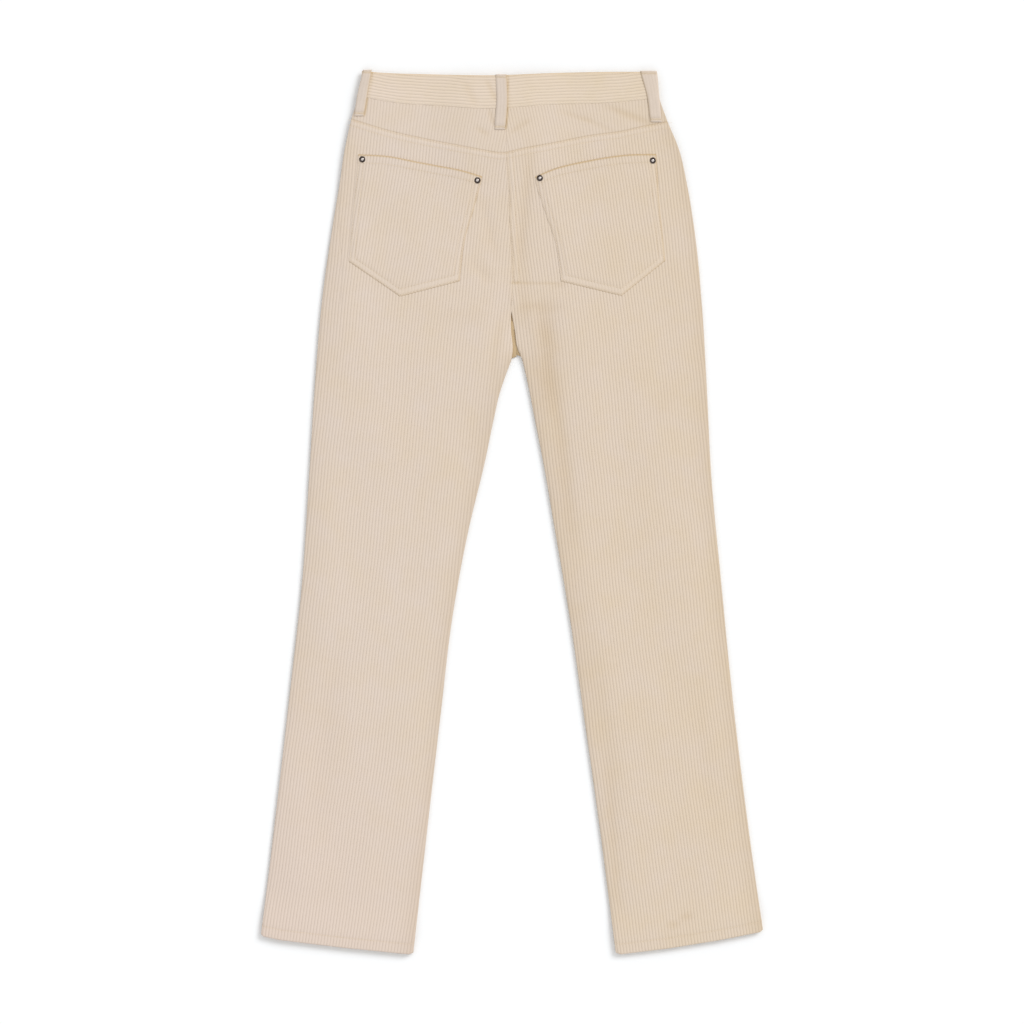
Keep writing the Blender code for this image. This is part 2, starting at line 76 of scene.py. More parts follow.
Edges = namedtuple("Edges", "y left right")
OUTSEAM = (
    Edges(515, -175.5, 169.6),
    Edges(490, -178.7, 171.0),
    Edges(460, -187.8, 180.7),
    Edges(425, -195.5, 195.0),
    Edges(380, -202.4, 205.3),
    Edges(320, -212.2, 214.7),
    Edges(240, -223.1, 222.3),
    Edges(150, -230.5, 227.6),
    Edges(40, -237.5, 233.3),
    Edges(-80, -245.4, 244.5),
    Edges(-200, -258.6, 256.2),
    Edges(-330, -273.6, 271.4),
    Edges(-430, -285.6, 284.9),
    Edges(-520, -297.0, 298.2),
)
INNER_EDGE = (
    Edges(512, -8.0, -8.0),
    Edges(445, -7.2, -7.2),
    Edges(412, -6.2, -6.2),
    Edges(377, -3.4, -3.4),
    Edges(347, -3.2, -3.2),
    Edges(277, 0.6, 0.6),
    Edges(SLIT_TOP, -1.0, -1.0),
    Edges(213, -1.1, 3.2),
    Edges(189, 0.9, 7.2),
    Edges(CROTCH, 0.2, 10.2),
    Edges(160, -7.5, 16.3),
    Edges(140, -14.2, 20.6),
    Edges(110, -21.1, 26.4),
    Edges(60, -31.5, 36.2),
    Edges(-20, -50.7, 50.0),
    Edges(-120, -69.3, 67.0),
    Edges(-240, -83.9, 84.4),
    Edges(-370, -99.0, 102.7),
    Edges(-520, -116.0, 121.9),
)
GRAIN = (
    Edges(459, -84.2, 84.2),
    Edges(388, -91.3, 92.4),
    Edges(248, -105.3, 108.8),
    Edges(0, -131.0, 135.7),
    Edges(-255, -161.5, 166.1),
    Edges(-520, -199.0, 203.0),
)
Across = namedtuple("Across", "x y")
HEM = {
    "left": (
        Across(-296, -491.0),
        Across(-291, -496.5),
        Across(-271, -500.8),
        Across(-197, -509.8),
        Across(-121, -517.4),
        Across(-114, -515.0),
    ),
    "right": (
        Across(120, -515.0),
        Across(127, -517.4),
        Across(183, -510.5),
        Across(243, -500.8),
        Across(290, -491.5),
        Across(296, -486.0),
    ),
}
BAND_SEAM = (
    Across(-182, 486.9),
    Across(-148, 480.2),
    Across(-74, 474.3),
    Across(-37, 471.7),
    Across(-4, 472.7),
    Across(36, 476.0),
    Across(123, 479.3),
    Across(173, 484.4),
)


def mix(start, end, share):
    return start + (end - start) * share


def ease(value, start, end):
    """A smooth step: 0 before start, 1 after end."""
    share = np.clip((value - start) / (end - start), 0, 1)
    return share * share * (3 - 2 * share)


def line_of(table, column, by="y", straight=False):
    """A smooth line through one column of a table, read by another column."""
    rows = sorted(table, key=lambda row: getattr(row, by))
    at = np.array([getattr(row, by) for row in rows], float)
    value = np.array([getattr(row, column) for row in rows], float)
    gaps = np.diff(at)
    slope = np.diff(value) / gaps
    inner = (slope[:-1] * gaps[1:] + slope[1:] * gaps[:-1]) / (gaps[:-1] + gaps[1:])
    lean = np.concatenate([slope[:1], inner, slope[-1:]])

    def read(where):
        where = np.clip(where, at[0], at[-1])
        i = np.clip(np.searchsorted(at, where, side="right") - 1, 0, len(slope) - 1)
        share = (where - at[i]) / gaps[i]
        chord = mix(value[i], value[i + 1], share)
        if straight:
            return chord
        bend = share * (1 - share) * gaps[i]
        return chord + bend * ((lean[i] - slope[i]) * (1 - share) - (lean[i + 1] - slope[i]) * share)

    return read


outseam = {side: line_of(OUTSEAM, side) for side in SIDES}
inner_edge = {side: line_of(INNER_EDGE, side) for side in SIDES}
grain = {side: line_of(GRAIN, side) for side in SIDES}
hem = {side: line_of(HEM[side], "y", by="x", straight=True) for side in SIDES}
band_seam = line_of(BAND_SEAM, "y", by="x")


def front_edge(side, y):
    """The centre front seam, and below the crotch the inseam."""
    centre = mix(FLY_SHIFT, 0.0, ease(y, CROTCH, FLY_STRAIGHT))
    return mix(inner_edge[side](y), centre, ease(y, *CROTCH_TURN[side]))


def nose(distance, reach, drop):
    """How far a rounded edge has dropped at a distance from its rim."""
    share = np.clip(abs(distance) / reach, 0, 1)
    return -drop * (1 - share) ** 2


# A wave's height, how far it takes along x and along y for one radian, and where it starts.
Wave = namedtuple("Wave", "height x y start", defaults=(0.0,))
SWAY = (Wave(0.35, 70, 31), Wave(0.22, -45, 13.7, 1.1), Wave(0.2, 25, 66))


def ripple(x, y, waves):
    return sum(wave.height * np.sin(x / wave.x + y / wave.y + wave.start) for wave in waves)


def sway(x, y):
    """Wales never run quite straight."""
    return ripple(x, y, SWAY)


def nowhere(x, y):
    return 0 * x + 0 * y


COLUMNS_PER_WALE = 8
HIDDEN_COLUMNS = 6  # on the face that rests

# A piece's edges across and along it, its rows as shares of its length with a shift, how its
# wales run, the heights of its faces, how much of the pile stands and how far the cloth goes
# towards the warm seam colour, as painted shade along seams, creases and edges and as the yellow
# of stitched rows; then the step between columns, whether the wales run upright and the face looks
# up, how the wales drift, and how much painted shade is added over the grooves near the edges
# that look right, less where pressed pile is paler.
Piece = namedtuple(
    "Piece",
    "low high start end rows grain outer lining pile sewn step upright faces_up drift handled",
    defaults=(WALE_PITCH / COLUMNS_PER_WALE, True, True, sway, nowhere),
)
SNAP = 0.15
PASSES = 16  # each point is placed by row and by column in turn, until both agree
SPOTS, BEYOND, SPARE_COLUMNS = 60, 30, 6  # where the outline is read to count the columns
PRESSED = 0.45  # pile that is pressed flat is as dark as this share of a groove
LINING_SHADE = 1.0  # how far painted shade takes the plain back of the cloth towards the seams' colour; it shows mainly down in the crotch slit


def rows_of(length, spacing, near_start, near_end):
    """Rows at given distances from either end, and evenly spaced ones between."""
    first = near_start[-1] + spacing
    last = length - near_end[-1] - spacing
    count = max(int((last - first) / spacing), 1)
    middle = [(mix(first, last, i / count) / length, 0.0) for i in range(count + 1)]
    return np.array([(0, d) for d in near_start] + middle + [(1, -d) for d in reversed(near_end)], float)


def with_rows(rows, length, at, half, spacing):
    """Closer rows for half a width on either side of one place along the length."""
    place = rows[:, 0] * length + rows[:, 1]
    share = at / length
    closer = [(share, shift) for shift in np.arange(-half, half + 0.01, spacing)]
    kept = rows[abs(place - at) > half + spacing]
    rows = np.concatenate([kept, np.array(closer)])
    return rows[np.argsort(rows[:, 0] * length + rows[:, 1])]


def lattice(piece):
    """Points on rows and wale columns; a column that leaves the outline ends on it."""
    share, shift = piece.rows[:, :1], piece.rows[:, 1:]
    corners = [end(side(0.0)) for end in (piece.start, piece.end) for side in (piece.low, piece.high)]
    spots = np.linspace(min(corners) - BEYOND, max(corners) + BEYOND, SPOTS)
    first = int(np.min((piece.low(spots) - piece.grain(spots)) / piece.step)) - SPARE_COLUMNS
    last = int(np.max((piece.high(spots) - piece.grain(spots)) / piece.step)) + SPARE_COLUMNS
    columns = np.arange(first, last + 1)
    across = np.zeros((len(piece.rows), len(columns))) + mix(piece.low(0.0), piece.high(0.0), 0.5)
    for _ in range(PASSES):
        along = mix(piece.start(across), piece.end(across), share) + shift
        low = piece.low(along)
        high = piece.high(along)
        free = piece.grain(along) + columns * piece.step
        free = free + (piece.drift(across, along) if piece.upright else piece.drift(along, across))
        across = np.where(free < low + SNAP, low, np.where(free > high - SNAP, high, free))
    along = mix(piece.start(across), piece.end(across), share) + shift + 0 * across
    wale = np.broadcast_to(columns * piece.step / WALE_PITCH, across.shape)
    return across, along, wale


def ordered_rim(triangles):
    """The boundary of a set of triangles, as points in walking order."""
    sides = np.concatenate([triangles[:, [0, 1]], triangles[:, [1, 2]], triangles[:, [2, 0]]])
    _, index, count = np.unique(np.sort(sides, axis=1), axis=0, return_inverse=True, return_counts=True)
    open_sides = sides[count[index.reshape(-1)] == 1]
    after = dict(open_sides.tolist())
    walk = [int(open_sides[0, 0])]
    while after[walk[-1]] != walk[0]:
        walk.append(after[walk[-1]])
    return walk


def turned_to(points, triangles, up):
    a, b, c = (points[triangles[:, i]][:, :2] for i in range(3))
    area = np.cross(b - a, c - a)
    wrong = area < 0 if up else area > 0
    triangles = triangles.copy()
    triangles[wrong] = triangles[wrong][:, ::-1]
    return triangles


INSIDE_ONLY, MERGED_WITHIN = 1, 1e-5  # which triangles of the lining are kept, and how near points join
LINING_ROWS = slice(2, -2, 6)
LINING_FILLS = (0.012, 0.03, 0.06, 0.12, 0.22, 0.36, 0.5, 0.64, 0.78, 0.88, 0.94, 0.97, 0.988)


def cloth_mesh(name, piece):
    """A closed sheet: the face with the wales, a plain lining face, and cut edges between."""
    across, along, wale = lattice(piece)
    x, y = (across, along) if piece.upright else (along, across)
    shape = across.shape
    flat = np.stack([x.ravel(), y.ravel()], axis=1)
    _, first, index = np.unique(np.round(flat, 2), axis=0, return_index=True, return_inverse=True)
    grid = index.reshape(shape)
    flat = flat[first]
    wale = wale.ravel()[first]
    run = along.ravel()[first]
    a, b, c, d = grid[:-1, :-1], grid[:-1, 1:], grid[1:, 1:], grid[1:, :-1]
    faces = np.concatenate([np.stack(t, axis=-1).reshape(-1, 3) for t in ((a, b, c), (a, c, d))])
    whole = (faces[:, 0] != faces[:, 1]) & (faces[:, 1] != faces[:, 2]) & (faces[:, 0] != faces[:, 2])
    faces = turned_to(flat, faces[whole], piece.faces_up)
    outer = np.column_stack([flat, piece.outer(flat[:, 0], flat[:, 1])])
    rim = ordered_rim(faces)
    rim_flat = flat[rim]
    rows = piece.rows[LINING_ROWS]
    fills = np.array(LINING_FILLS)
    inside_across = np.zeros((len(rows), len(fills)))
    for _ in range(PASSES):
        inside_along = mix(piece.start(inside_across), piece.end(inside_across), rows[:, :1]) + rows[:, 1:]
        inside_along = inside_along + 0 * inside_across
        inside_across = mix(piece.low(inside_along), piece.high(inside_along), fills)
    pair = (inside_across, inside_along) if piece.upright else (inside_along, inside_across)
    inside = np.stack([p.ravel() for p in pair], axis=1)
    spots = [tuple(p) for p in np.concatenate([rim_flat, inside])]
    outline = [list(range(len(rim)))]
    points, _, lining_faces, *_ = delaunay_2d_cdt(spots, [], outline, INSIDE_ONLY, MERGED_WITHIN)
    points = np.array([tuple(p) for p in points])
    lining = np.column_stack([points, piece.lining(points[:, 0], points[:, 1])])
    lining_faces = turned_to(points, np.array(lining_faces), not piece.faces_up) + len(outer)
    near = np.array(rim)
    far = np.roll(near, -1)
    under = np.arange(len(rim)) + len(outer)
    beyond = np.roll(under, -1)
    edge_faces = np.concatenate([np.stack([far, near, under], 1), np.stack([far, under, beyond], 1)])
    verts = np.concatenate([outer, lining]) * MM
    mesh = bpy.data.meshes.new(name)
    mesh.from_pydata(verts.tolist(), [], np.concatenate([faces, lining_faces, edge_faces]).tolist())
    blank = np.zeros(len(lining))
    values = {
        "wale": np.concatenate([wale, blank]),
        "run": np.concatenate([run, blank]),
        "pile": np.concatenate([piece.pile(flat[:, 0], flat[:, 1]), blank]),
        "sewn": np.concatenate([piece.sewn(flat[:, 0], flat[:, 1]), blank + LINING_SHADE]),
        "handled": np.concatenate([piece.handled(flat[:, 0], flat[:, 1]), blank]),
    }
    for key, value in values.items():
        mesh.attributes.new(key, "FLOAT", "POINT").data.foreach_set("value", value.astype(np.float32))
    mesh.validate()
    return mesh


class Wire:
    """A socket of a node tree; arithmetic on it adds Math nodes."""

    def __init__(self, tree, socket):
        self.tree = tree
        self.socket = socket

    def math(self, operation, *values):
        return self.tree.add("ShaderNodeMath", {"operation": operation}, dict(enumerate(values)))

    def __add__(self, other):
        return self.math("ADD", self, other)

    def __radd__(self, other):
        return self.math("ADD", other, self)

    def __sub__(self, other):
        return self.math("SUBTRACT", self, other)

    def __rsub__(self, other):
        return self.math("SUBTRACT", other, self)

    def __mul__(self, other):
        return self.math("MULTIPLY", self, other)

    def __rmul__(self, other):
        return self.math("MULTIPLY", other, self)

    def __pow__(self, other):
        return self.math("POWER", self, other)

    def clamped(self):
        return self.math("MINIMUM", self.math("MAXIMUM", self, 0.0), 1.0)


class NodeTree:
    """Adds nodes to a tree: a type, its settings, and the values or links of its sockets."""

    def __init__(self, tree):
        self.tree = tree

    def add(self, kind, settings=(), sockets=(), output=0):
        node = self.tree.nodes.new(kind)
        for key, value in dict(settings).items():
            setattr(node, key, value)
        for key, value in dict(sockets).items():
            if isinstance(value, Wire):
                self.tree.links.new(value.socket, node.inputs[key])
            else:
                node.inputs[key].default_value = value
        return Wire(self, node.outputs[output])

    def noise(self, place, scale, detail=2.0, roughness=0.5):
        sockets = {"Vector": place, "Scale": scale, "Detail": detail, "Roughness": roughness}
        return self.add("ShaderNodeTexNoise", {}, sockets)

    def attribute(self, name):
        return self.add("ShaderNodeAttribute", {"attribute_name": name}, output="Fac")

    def blend(self, share, start, end, how="MIX"):
        settings = {"data_type": "RGBA", "blend_type": how}
        return self.add("ShaderNodeMix", settings, {0: share, 6: start, 7: end}, output=2)


def fresh_tree(name, values):
    """A geometry tree that takes a mesh and the named values, with a wire from each."""
    tree = bpy.data.node_groups.new(name, "GeometryNodeTree")
    for key, kind in {"Geometry": "Geometry", **values}.items():
        tree.interface.new_socket(key, in_out="INPUT", socket_type="NodeSocket" + kind)
    tree.interface.new_socket("Geometry", in_out="OUTPUT", socket_type="NodeSocketGeometry")
    nodes = NodeTree(tree)
    entry = tree.nodes.new("NodeGroupInput")
    return nodes, *(Wire(nodes, entry.outputs[i]) for i in range(1 + len(values)))


def finished_tree(nodes, mesh):
    out = nodes.tree.nodes.new("NodeGroupOutput")
    nodes.tree.links.new(mesh.socket, out.inputs[0])
    return nodes.tree


def wales_tree():
    """Raises the pile in rounded ribs along a mesh's wales, uneven as brushed cloth is."""
    values = {"Wale height": "Float", "Roundness": "Float", "Unevenness": "Float", "Cloth": "Material"}
    nodes, geometry, height, roundness, unevenness, cloth = fresh_tree("raised_wales", values)
    wale = nodes.add("GeometryNodeInputNamedAttribute", {"data_type": "FLOAT"}, {"Name": "wale"})
    pile = nodes.add("GeometryNodeInputNamedAttribute", {"data_type": "FLOAT"}, {"Name": "pile"})
    beside = wale.math("ABSOLUTE", wale - wale.math("ROUND", wale)) * 2
    rib = 1 - beside**roundness
    place = nodes.add("GeometryNodeInputPosition")
    brushed = nodes.noise(place, scale=90.0, detail=3.0)
    lift = height * pile * rib * (1 - unevenness * brushed)
    normal = nodes.add("GeometryNodeInputNormal")
    offset = nodes.add("ShaderNodeVectorMath", {"operation": "SCALE"}, {"Vector": normal, "Scale": lift})
    raised = nodes.add("GeometryNodeSetPosition", {}, {"Geometry": geometry, "Offset": offset})
    between_wales = (1 - rib) * pile + (1 - pile) * PRESSED
    groove = {"Geometry": raised, "Name": "groove", "Value": between_wales}
    marked = nodes.add("GeometryNodeStoreNamedAttribute", {"data_type": "FLOAT", "domain": "POINT"}, groove)
    real = nodes.add("GeometryNodeRealizeInstances", {}, {"Geometry": marked})
    done = nodes.add("GeometryNodeSetMaterial", {}, {"Geometry": real, "Material": cloth})
    return finished_tree(nodes, done)


def grown(obj, tree, values):
    """Runs a geometry tree on an object and keeps the result as its plain mesh."""
    modifier = obj.modifiers.new("Grow", "NODES")
    modifier.node_group = tree
    for item in tree.interface.items_tree:
        if item.in_out == "INPUT" and item.name in values:
            modifier[item.identifier] = values[item.name]
    bpy.context.view_layer.update()
    graph = bpy.context.evaluated_depsgraph_get()
    mesh = bpy.data.meshes.new_from_object(obj.evaluated_get(graph), depsgraph=graph)
    obj.modifiers.clear()
    old, obj.data = obj.data, mesh
    mesh.name = obj.name
    bpy.data.meshes.remove(old)


SCREEN_TOE, SCREEN_GAMMA = 0.055, 2.4


def linear(red, green, blue):
    """A colour given as 0 to 255 for a screen."""
    shares = (value / 255 for value in (red, green, blue))
    return tuple(((share + SCREEN_TOE) / (1 + SCREEN_TOE)) ** SCREEN_GAMMA for share in shares) + (1.0,)


def fresh_material(name, looks):
    """A material with plain looks, the nodes to add to, and what links a wire to its shader."""
    material = bpy.data.materials.new(name)
    material.use_nodes = True
    shader = material.node_tree.nodes["Principled BSDF"]
    for key, value in looks.items():
        shader.inputs[key].default_value = value

    def link(wire, key):
        material.node_tree.links.new(wire.socket, shader.inputs[key])

    return material, NodeTree(material.node_tree), link


PILE_LOOKS = {
    "Roughness": 0.92,
    "Specular IOR Level": 0.15,
    "Sheen Weight": 0.22,
    "Sheen Roughness": 0.45,
    "Sheen Tint": (1.0, 0.95, 0.9, 1.0),
}
GROOVE_SHADE = (0.865, 0.85, 0.83, 1.0)
# The warm colour of painted shade along seams, creases and edges, beside the loops and in the crotch slit;
# stitched rows take it on as the thread's yellow.
SEAM_SHADE = (0.79, 0.70, 0.51, 1.0)
ROSY = linear(219, 202, 189.5)
TONE_ACROSS, TONE_PATCHES, TONE_WORN = 1.3, 1.1, 0.8  # what shifts the tone, and how strongly
ROSY_ACROSS, ROSY_UP, ROSY_LESS = -2.0, -2.2, 0.75  # the cloth is rosier towards the left hem
STREAK_ACROSS, STREAK_ALONG = 0.9, 0.13  # by the wale and by the millimetre
PICK_ACROSS, PICK_ALONG, PICK_DEPTH = 5, 1.3, -0.5
GROOVE_SOFT, GROOVE_LEAST, GROOVE_STREAKS, TUFTED = 1.4, 0.4, 1.2, 0.6


def corduroy(name, cool, warm):
    """Brushed cotton pile: its tone drifts; painted shade darkens the grooves, and warm painted shade lies
    along seams, creases and edges.
    """
    material, nodes, link = fresh_material(name, PILE_LOOKS)
    place = nodes.add("ShaderNodeTexCoord", output="Object")
    columns = ("groove", "sewn", "run", "wale", "handled")
    depth, sewn, run, wale, handled = (nodes.attribute(column) for column in columns)
    sideways = nodes.add("ShaderNodeSeparateXYZ", {}, {"Vector": place}, output="X")
    upwards = nodes.add("ShaderNodeSeparateXYZ", {}, {"Vector": place}, output="Y")
    patches = nodes.noise(place, scale=34.0, detail=3.0, roughness=0.6)
    mottle_and_shaded_edge = nodes.noise(place, scale=11.0)
    tufts = nodes.noise(place, scale=700.0)
    fuzz = nodes.noise(place, scale=1900.0)
    by_wale = nodes.add("ShaderNodeCombineXYZ", {}, {0: wale * STREAK_ACROSS, 1: run * STREAK_ALONG})
    streaks = nodes.noise(by_wale, scale=1.0)
    tone = 0.5 + sideways * TONE_ACROSS + (patches - 0.5) * TONE_PATCHES + (mottle_and_shaded_edge - 0.5) * TONE_WORN
    near_hem = (sideways * ROSY_ACROSS + upwards * ROSY_UP - ROSY_LESS).clamped()
    pile = nodes.blend(near_hem, nodes.blend(tone.clamped(), cool, warm), ROSY)
    streaked = depth**GROOVE_SOFT * (GROOVE_LEAST + streaks * GROOVE_STREAKS)
    # Grooves take painted shade, more of it near the edges that look right and less where pressed pile is
    # paler.
    deep = (streaked + (tufts - 0.5) * TUFTED + handled).clamped()
    grooved = nodes.blend(deep, pile, GROOVE_SHADE, "MULTIPLY")
    joined = nodes.blend(sewn.clamped(), grooved, SEAM_SHADE, "MULTIPLY")
    lined_up = nodes.add("ShaderNodeCombineXYZ", {}, {0: wale * PICK_ACROSS, 1: run * PICK_ALONG})
    picks = nodes.add("ShaderNodeTexVoronoi", {"feature": "F1"}, {"Vector": lined_up, "Scale": 1.0})
    relief = picks * PICK_DEPTH + fuzz
    bump = nodes.add("ShaderNodeBump", {}, {"Strength": 0.35, "Distance": 0.0003, "Height": relief})
    link(joined, "Base Color")
    link(bump, "Normal")
    return material


leg_cloth = corduroy("leg_corduroy", linear(218, 203, 190), linear(217, 199.5, 177.5))
raised_wales = wales_tree()
WALES = {"Roundness": 2.6, "Unevenness": 0.4}
SHARP_FROM = 1.75  # radians between two faces


def placed(name, data):
    obj = bpy.data.objects.new(name, data)
    bpy.context.scene.collection.objects.link(obj)
    return obj


def sewn_piece(name, piece, cloth, node, cut, wale=WALE_HEIGHT):
    """The finished sheet in place of its solid; cut, its flat size before sewing, is not used."""
    obj = placed(name, cloth_mesh(name, piece))
    grown(obj, raised_wales, {**WALES, "Wale height": wale * MM, "Cloth": cloth})
    obj.data.shade_smooth()
    obj.data.set_sharp_from_angle(angle=SHARP_FROM)
    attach(obj, "root")
    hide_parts(node)


def front_under(y):
    return FRONT_LIFT * ease(y, LIFT_FROM, LIFT_TO)


def fly_raise(x, y):
    """How far the right front rides up on the left one."""
    beyond = x - front_edge("right", y)
    return FLY_RAISE * ease(y, FLY_BOTTOM - LAP_RISE, FLY_BOTTOM) * (1 - ease(beyond, 1, LAP_RAMP))


def hem_fold(x, y, side):
    return HEM_FOLD * (1 - ease(y - hem[side](x), HEM_DEPTH, HEM_DEPTH + HEM_RAMP))


DENT = 0.07  # how deep a row of stitches pulls the cloth in
THINNED = 0.35  # how much of the pile a row of stitches holds down
PULLED = 0.9  # how far to its sides a row of stitches pulls
TRIMMED = 0.9


def stitched_in(distance):
    """1 on a row of stitches, falling away beside it."""
    return np.exp(-((distance / PULLED) ** 2))


def tint(distance, strength, reach):
    """How much warm painted shade lies at a distance from a seam, an edge or a fold."""
    return strength * np.exp(-abs(distance) / reach)


def plain_sides(*edges):
    """Pile is trimmed away right at an edge; 0 there and 1 a little inside."""
    return np.clip(np.min([abs(edge) for edge in edges], axis=0) / TRIMMED, 0, 1)


SEAM_PILE = 0.45  # the share of the pile that stands along a seam


def seamed_sides(*edges):
    return mix(SEAM_PILE, 1, plain_sides(*edges))


ROW_TINT = 0.3  # how much yellower the thread makes its row


def fly_row(y, inset):
    """Where a row of stitches runs beside the fly: up from the centre seam in a curve."""
    return front_edge("left", y) - 1 - inset * ease(y, FLY_BOTTOM - inset, FLY_BOTTOM + FLY_CURVE)


CROTCH_RISE = (1.6, 2.4)  # the seams that meet at the crotch lift it between the legs, most at the back
CROTCH_HALF = 8.0
CROTCH_FROM = CROTCH - 8, CROTCH + 6
CROTCH_TO = SLIT_TOP, SLIT_TOP + 30
INSEAM_FROM = CROTCH - 30
# Painted shade along the waistband seam: strength and reach.
SEAM_TINT = 0.6, 1.2
FRONT_ROUND = 6.0, 0.7  # how far in, and how much, the edges of the resting face round up
FRONT_LENGTH = 980.0
FRONT_ROW = 8.0
FRONT_HEM_ROWS = (0, 0.7, 1.8, 4, 8, 11, 12, 13, 16)
FRONT_TOP_ROWS = (0, 0.6, 1.5, 4)
CROTCH_ROWS = 692, 9, 0.9  # closer rows: how far up they lie, on how much to either side, how close
LAID = 0.02  # keeps layers that touch apart


def front_panel(side):
    inward = 1 if side == "left" else -1

    def edge(y):
        lap = FLY_WIDTH * ease(y, FLY_BOTTOM, FLY_BOTTOM + FLY_FADE) if side == "right" else 0
        return front_edge(side, y) - inward * SEAM / 2 - lap

    def lifted(x, y):
        return front_under(y) + (fly_raise(x, y) if side == "right" else 0)

    def rows_of_stitches(x, y):
        rows = stitched_in(y - hem[side](x) - HEM_DEPTH)
        if side == "left":
            for inset in FLY_ROWS:
                above_its_end = ease(y, FLY_BOTTOM - inset - 2, FLY_BOTTOM - inset)
                rows = rows + stitched_in(x - fly_row(y, inset)) * above_its_end
        return rows

    def under(x, y):
        """The ground of the face that rests; its pile reaches down to the table."""
        on_inseam = 1 - ease(y, INSEAM_FROM, CROTCH)
        rims = nose(x - outseam[side](y), *FRONT_ROUND) + nose(x - edge(y), *FRONT_ROUND) * on_inseam
        return lifted(x, y) + WALE_HEIGHT - rims + DENT * rows_of_stitches(x, y)

    def over(x, y):
        between = x - mix(inner_edge["left"](y), inner_edge["right"](y), 0.5)
        gusset = mix(*CROTCH_RISE, ease(y, CROTCH, SLIT_TOP)) * np.exp(-((between / CROTCH_HALF) ** 4))
        gusset = gusset * ease(y, *CROTCH_FROM) * (1 - ease(y, *CROTCH_TO))
        return lifted(x, y) + FRONT_WALL + hem_fold(x, y, side) + LAID + gusset

    def pile(x, y):
        rims = plain_sides(x - outseam[side](y), x - edge(y), y - hem[side](x), band_seam(x) - y)
        return rims * (1 - THINNED * rows_of_stitches(x, y))

    # Painted shade along the waistband seam, and the yellow of the stitched rows.
    def sewn(x, y):
        return tint(band_seam(x) - y, *SEAM_TINT) + ROW_TINT * rows_of_stitches(x, y)

    low, high = (outseam[side], edge) if side == "left" else (edge, outseam[side])
    rows = rows_of(FRONT_LENGTH, FRONT_ROW, FRONT_HEM_ROWS, FRONT_TOP_ROWS)
    return Piece(
        low=low,
        high=high,
        start=hem[side],
        end=lambda x: band_seam(x) - SEAM / 2,
        rows=with_rows(rows, FRONT_LENGTH, *CROTCH_ROWS),
        grain=grain[side],
        step=WALE_PITCH / HIDDEN_COLUMNS,
        outer=under,
        lining=over,
        pile=pile,
        sewn=sewn,
        faces_up=False,
    )


LEG_FRONT_CUT = {"flat": (0.30, 1.03), "area": 0.205}
front = {side: front_panel(side) for side in SIDES}
for side in front:
    sewn_piece("front_panel_" + side, front[side], leg_cloth, "front_" + side, LEG_FRONT_CUT)

# ---- Front waistband ----------------------------------------------------------------------
# A folded strip of the same cloth on its side, its wales running round the waist. The right
# half ends under the fly and rides up over the left half there.

BAND = 2.4
BAND_TOP = (
    Across(-176, 516.0),
    Across(-160, 514.4),
    Across(-96, 511.9),
    Across(-20, 510.7),
    Across(56, 513.6),
    Across(103, 514.6),
    Across(170, 514.9),
)
band_top = line_of(BAND_TOP, "y", by="x")
band_cloth = corduroy("band_corduroy", linear(222, 206, 191), linear(218, 201, 177))
BAND_MIDDLE = 490
BAND_SWAY = 0.6
BAND_RIPPLE = (Wave(0.22, 7.3, 9), Wave(0.18, 16, -5, 0.9))
EDGE_ROW = 1.9  # from the waistband's edges to its rows of stitches
BAND_TOP_ROUND = 2.5, 0.8
BAND_FOOT_ROUND = 1.6, 0.5
FRONT_BAND_LENGTH = 190.0
FRONT_BAND_ROW = 4.0
BAND_END_ROWS = (0, 0.6, 1.5)


def band_drift(x, y):
    """The wales round the waist ripple where stitches pull on them."""
    return BAND_SWAY * sway(x, y) + ripple(x, y, BAND_RIPPLE)


def band_stitched(x, y):
    """1 on the two rows along the waistband's edges."""
    return stitched_in(y - band_seam(x) - EDGE_ROW) + stitched_in(band_top(x) - y - EDGE_ROW)


def front_band(side):
    low, high = outseam["left"], (lambda y: front_edge("left", y) - SEAM / 2)
    if side == "right":
        low, high = (lambda y: front_edge("right", y) - FLY_WIDTH), outseam["right"]

    def lifted(x):
        step = BAND + GAP if side == "right" else 0
        return FRONT_LIFT + step * (1 - ease(x - front_edge("right", BAND_MIDDLE), 1, LAP_RAMP))

    def under(x, y):
        rims = nose(y - band_seam(x), *BAND_FOOT_ROUND) + nose(band_top(x) - y, *BAND_TOP_ROUND)
        return lifted(x) + WALE_HEIGHT - rims + DENT * band_stitched(x, y)

    def pile(x, y):
        rims = plain_sides(y - band_seam(x), y - band_top(x), x - low(y), x - high(y))
        return rims * (1 - THINNED * band_stitched(x, y))

    # Painted shade along the seam, and the yellow of the stitched rows.
    def sewn(x, y):
        return tint(y - band_seam(x), *SEAM_TINT) + ROW_TINT * band_stitched(x, y)

    return Piece(
        low=lambda x: band_seam(x) + SEAM / 2,
        high=lambda x: band_top(x) - SEAM / 2,
        start=low,
        end=high,
        rows=rows_of(FRONT_BAND_LENGTH, FRONT_BAND_ROW, BAND_END_ROWS, BAND_END_ROWS),
        grain=lambda x: band_seam(x) + WALE_PITCH / 2,
        step=WALE_PITCH / HIDDEN_COLUMNS,
        outer=under,
        lining=lambda x, y: lifted(x) + BAND,
        pile=pile,
        sewn=sewn,
        upright=False,
        faces_up=False,
        drift=band_drift,
    )


FRONT_BAND_CUT = {"left": {"flat": (0.18, 0.042)}, "right": {"flat": (0.21, 0.042)}}
front_waist = {side: front_band(side) for side in SIDES}
for side in front_waist:
    name, node = "front_band_" + side, "waistband_front_" + side
    cut, rests_on = FRONT_BAND_CUT[side], ["front_panel_" + side]
    sewn_piece(name, front_waist[side], band_cloth, node, cut)

# ---- Front belt loops ---------------------------------------------------------------------
# Narrow strips of corduroy with both edges folded under, bartacked on the front waistband;
# with the garment face down they lie on the table and lift the waist a little.

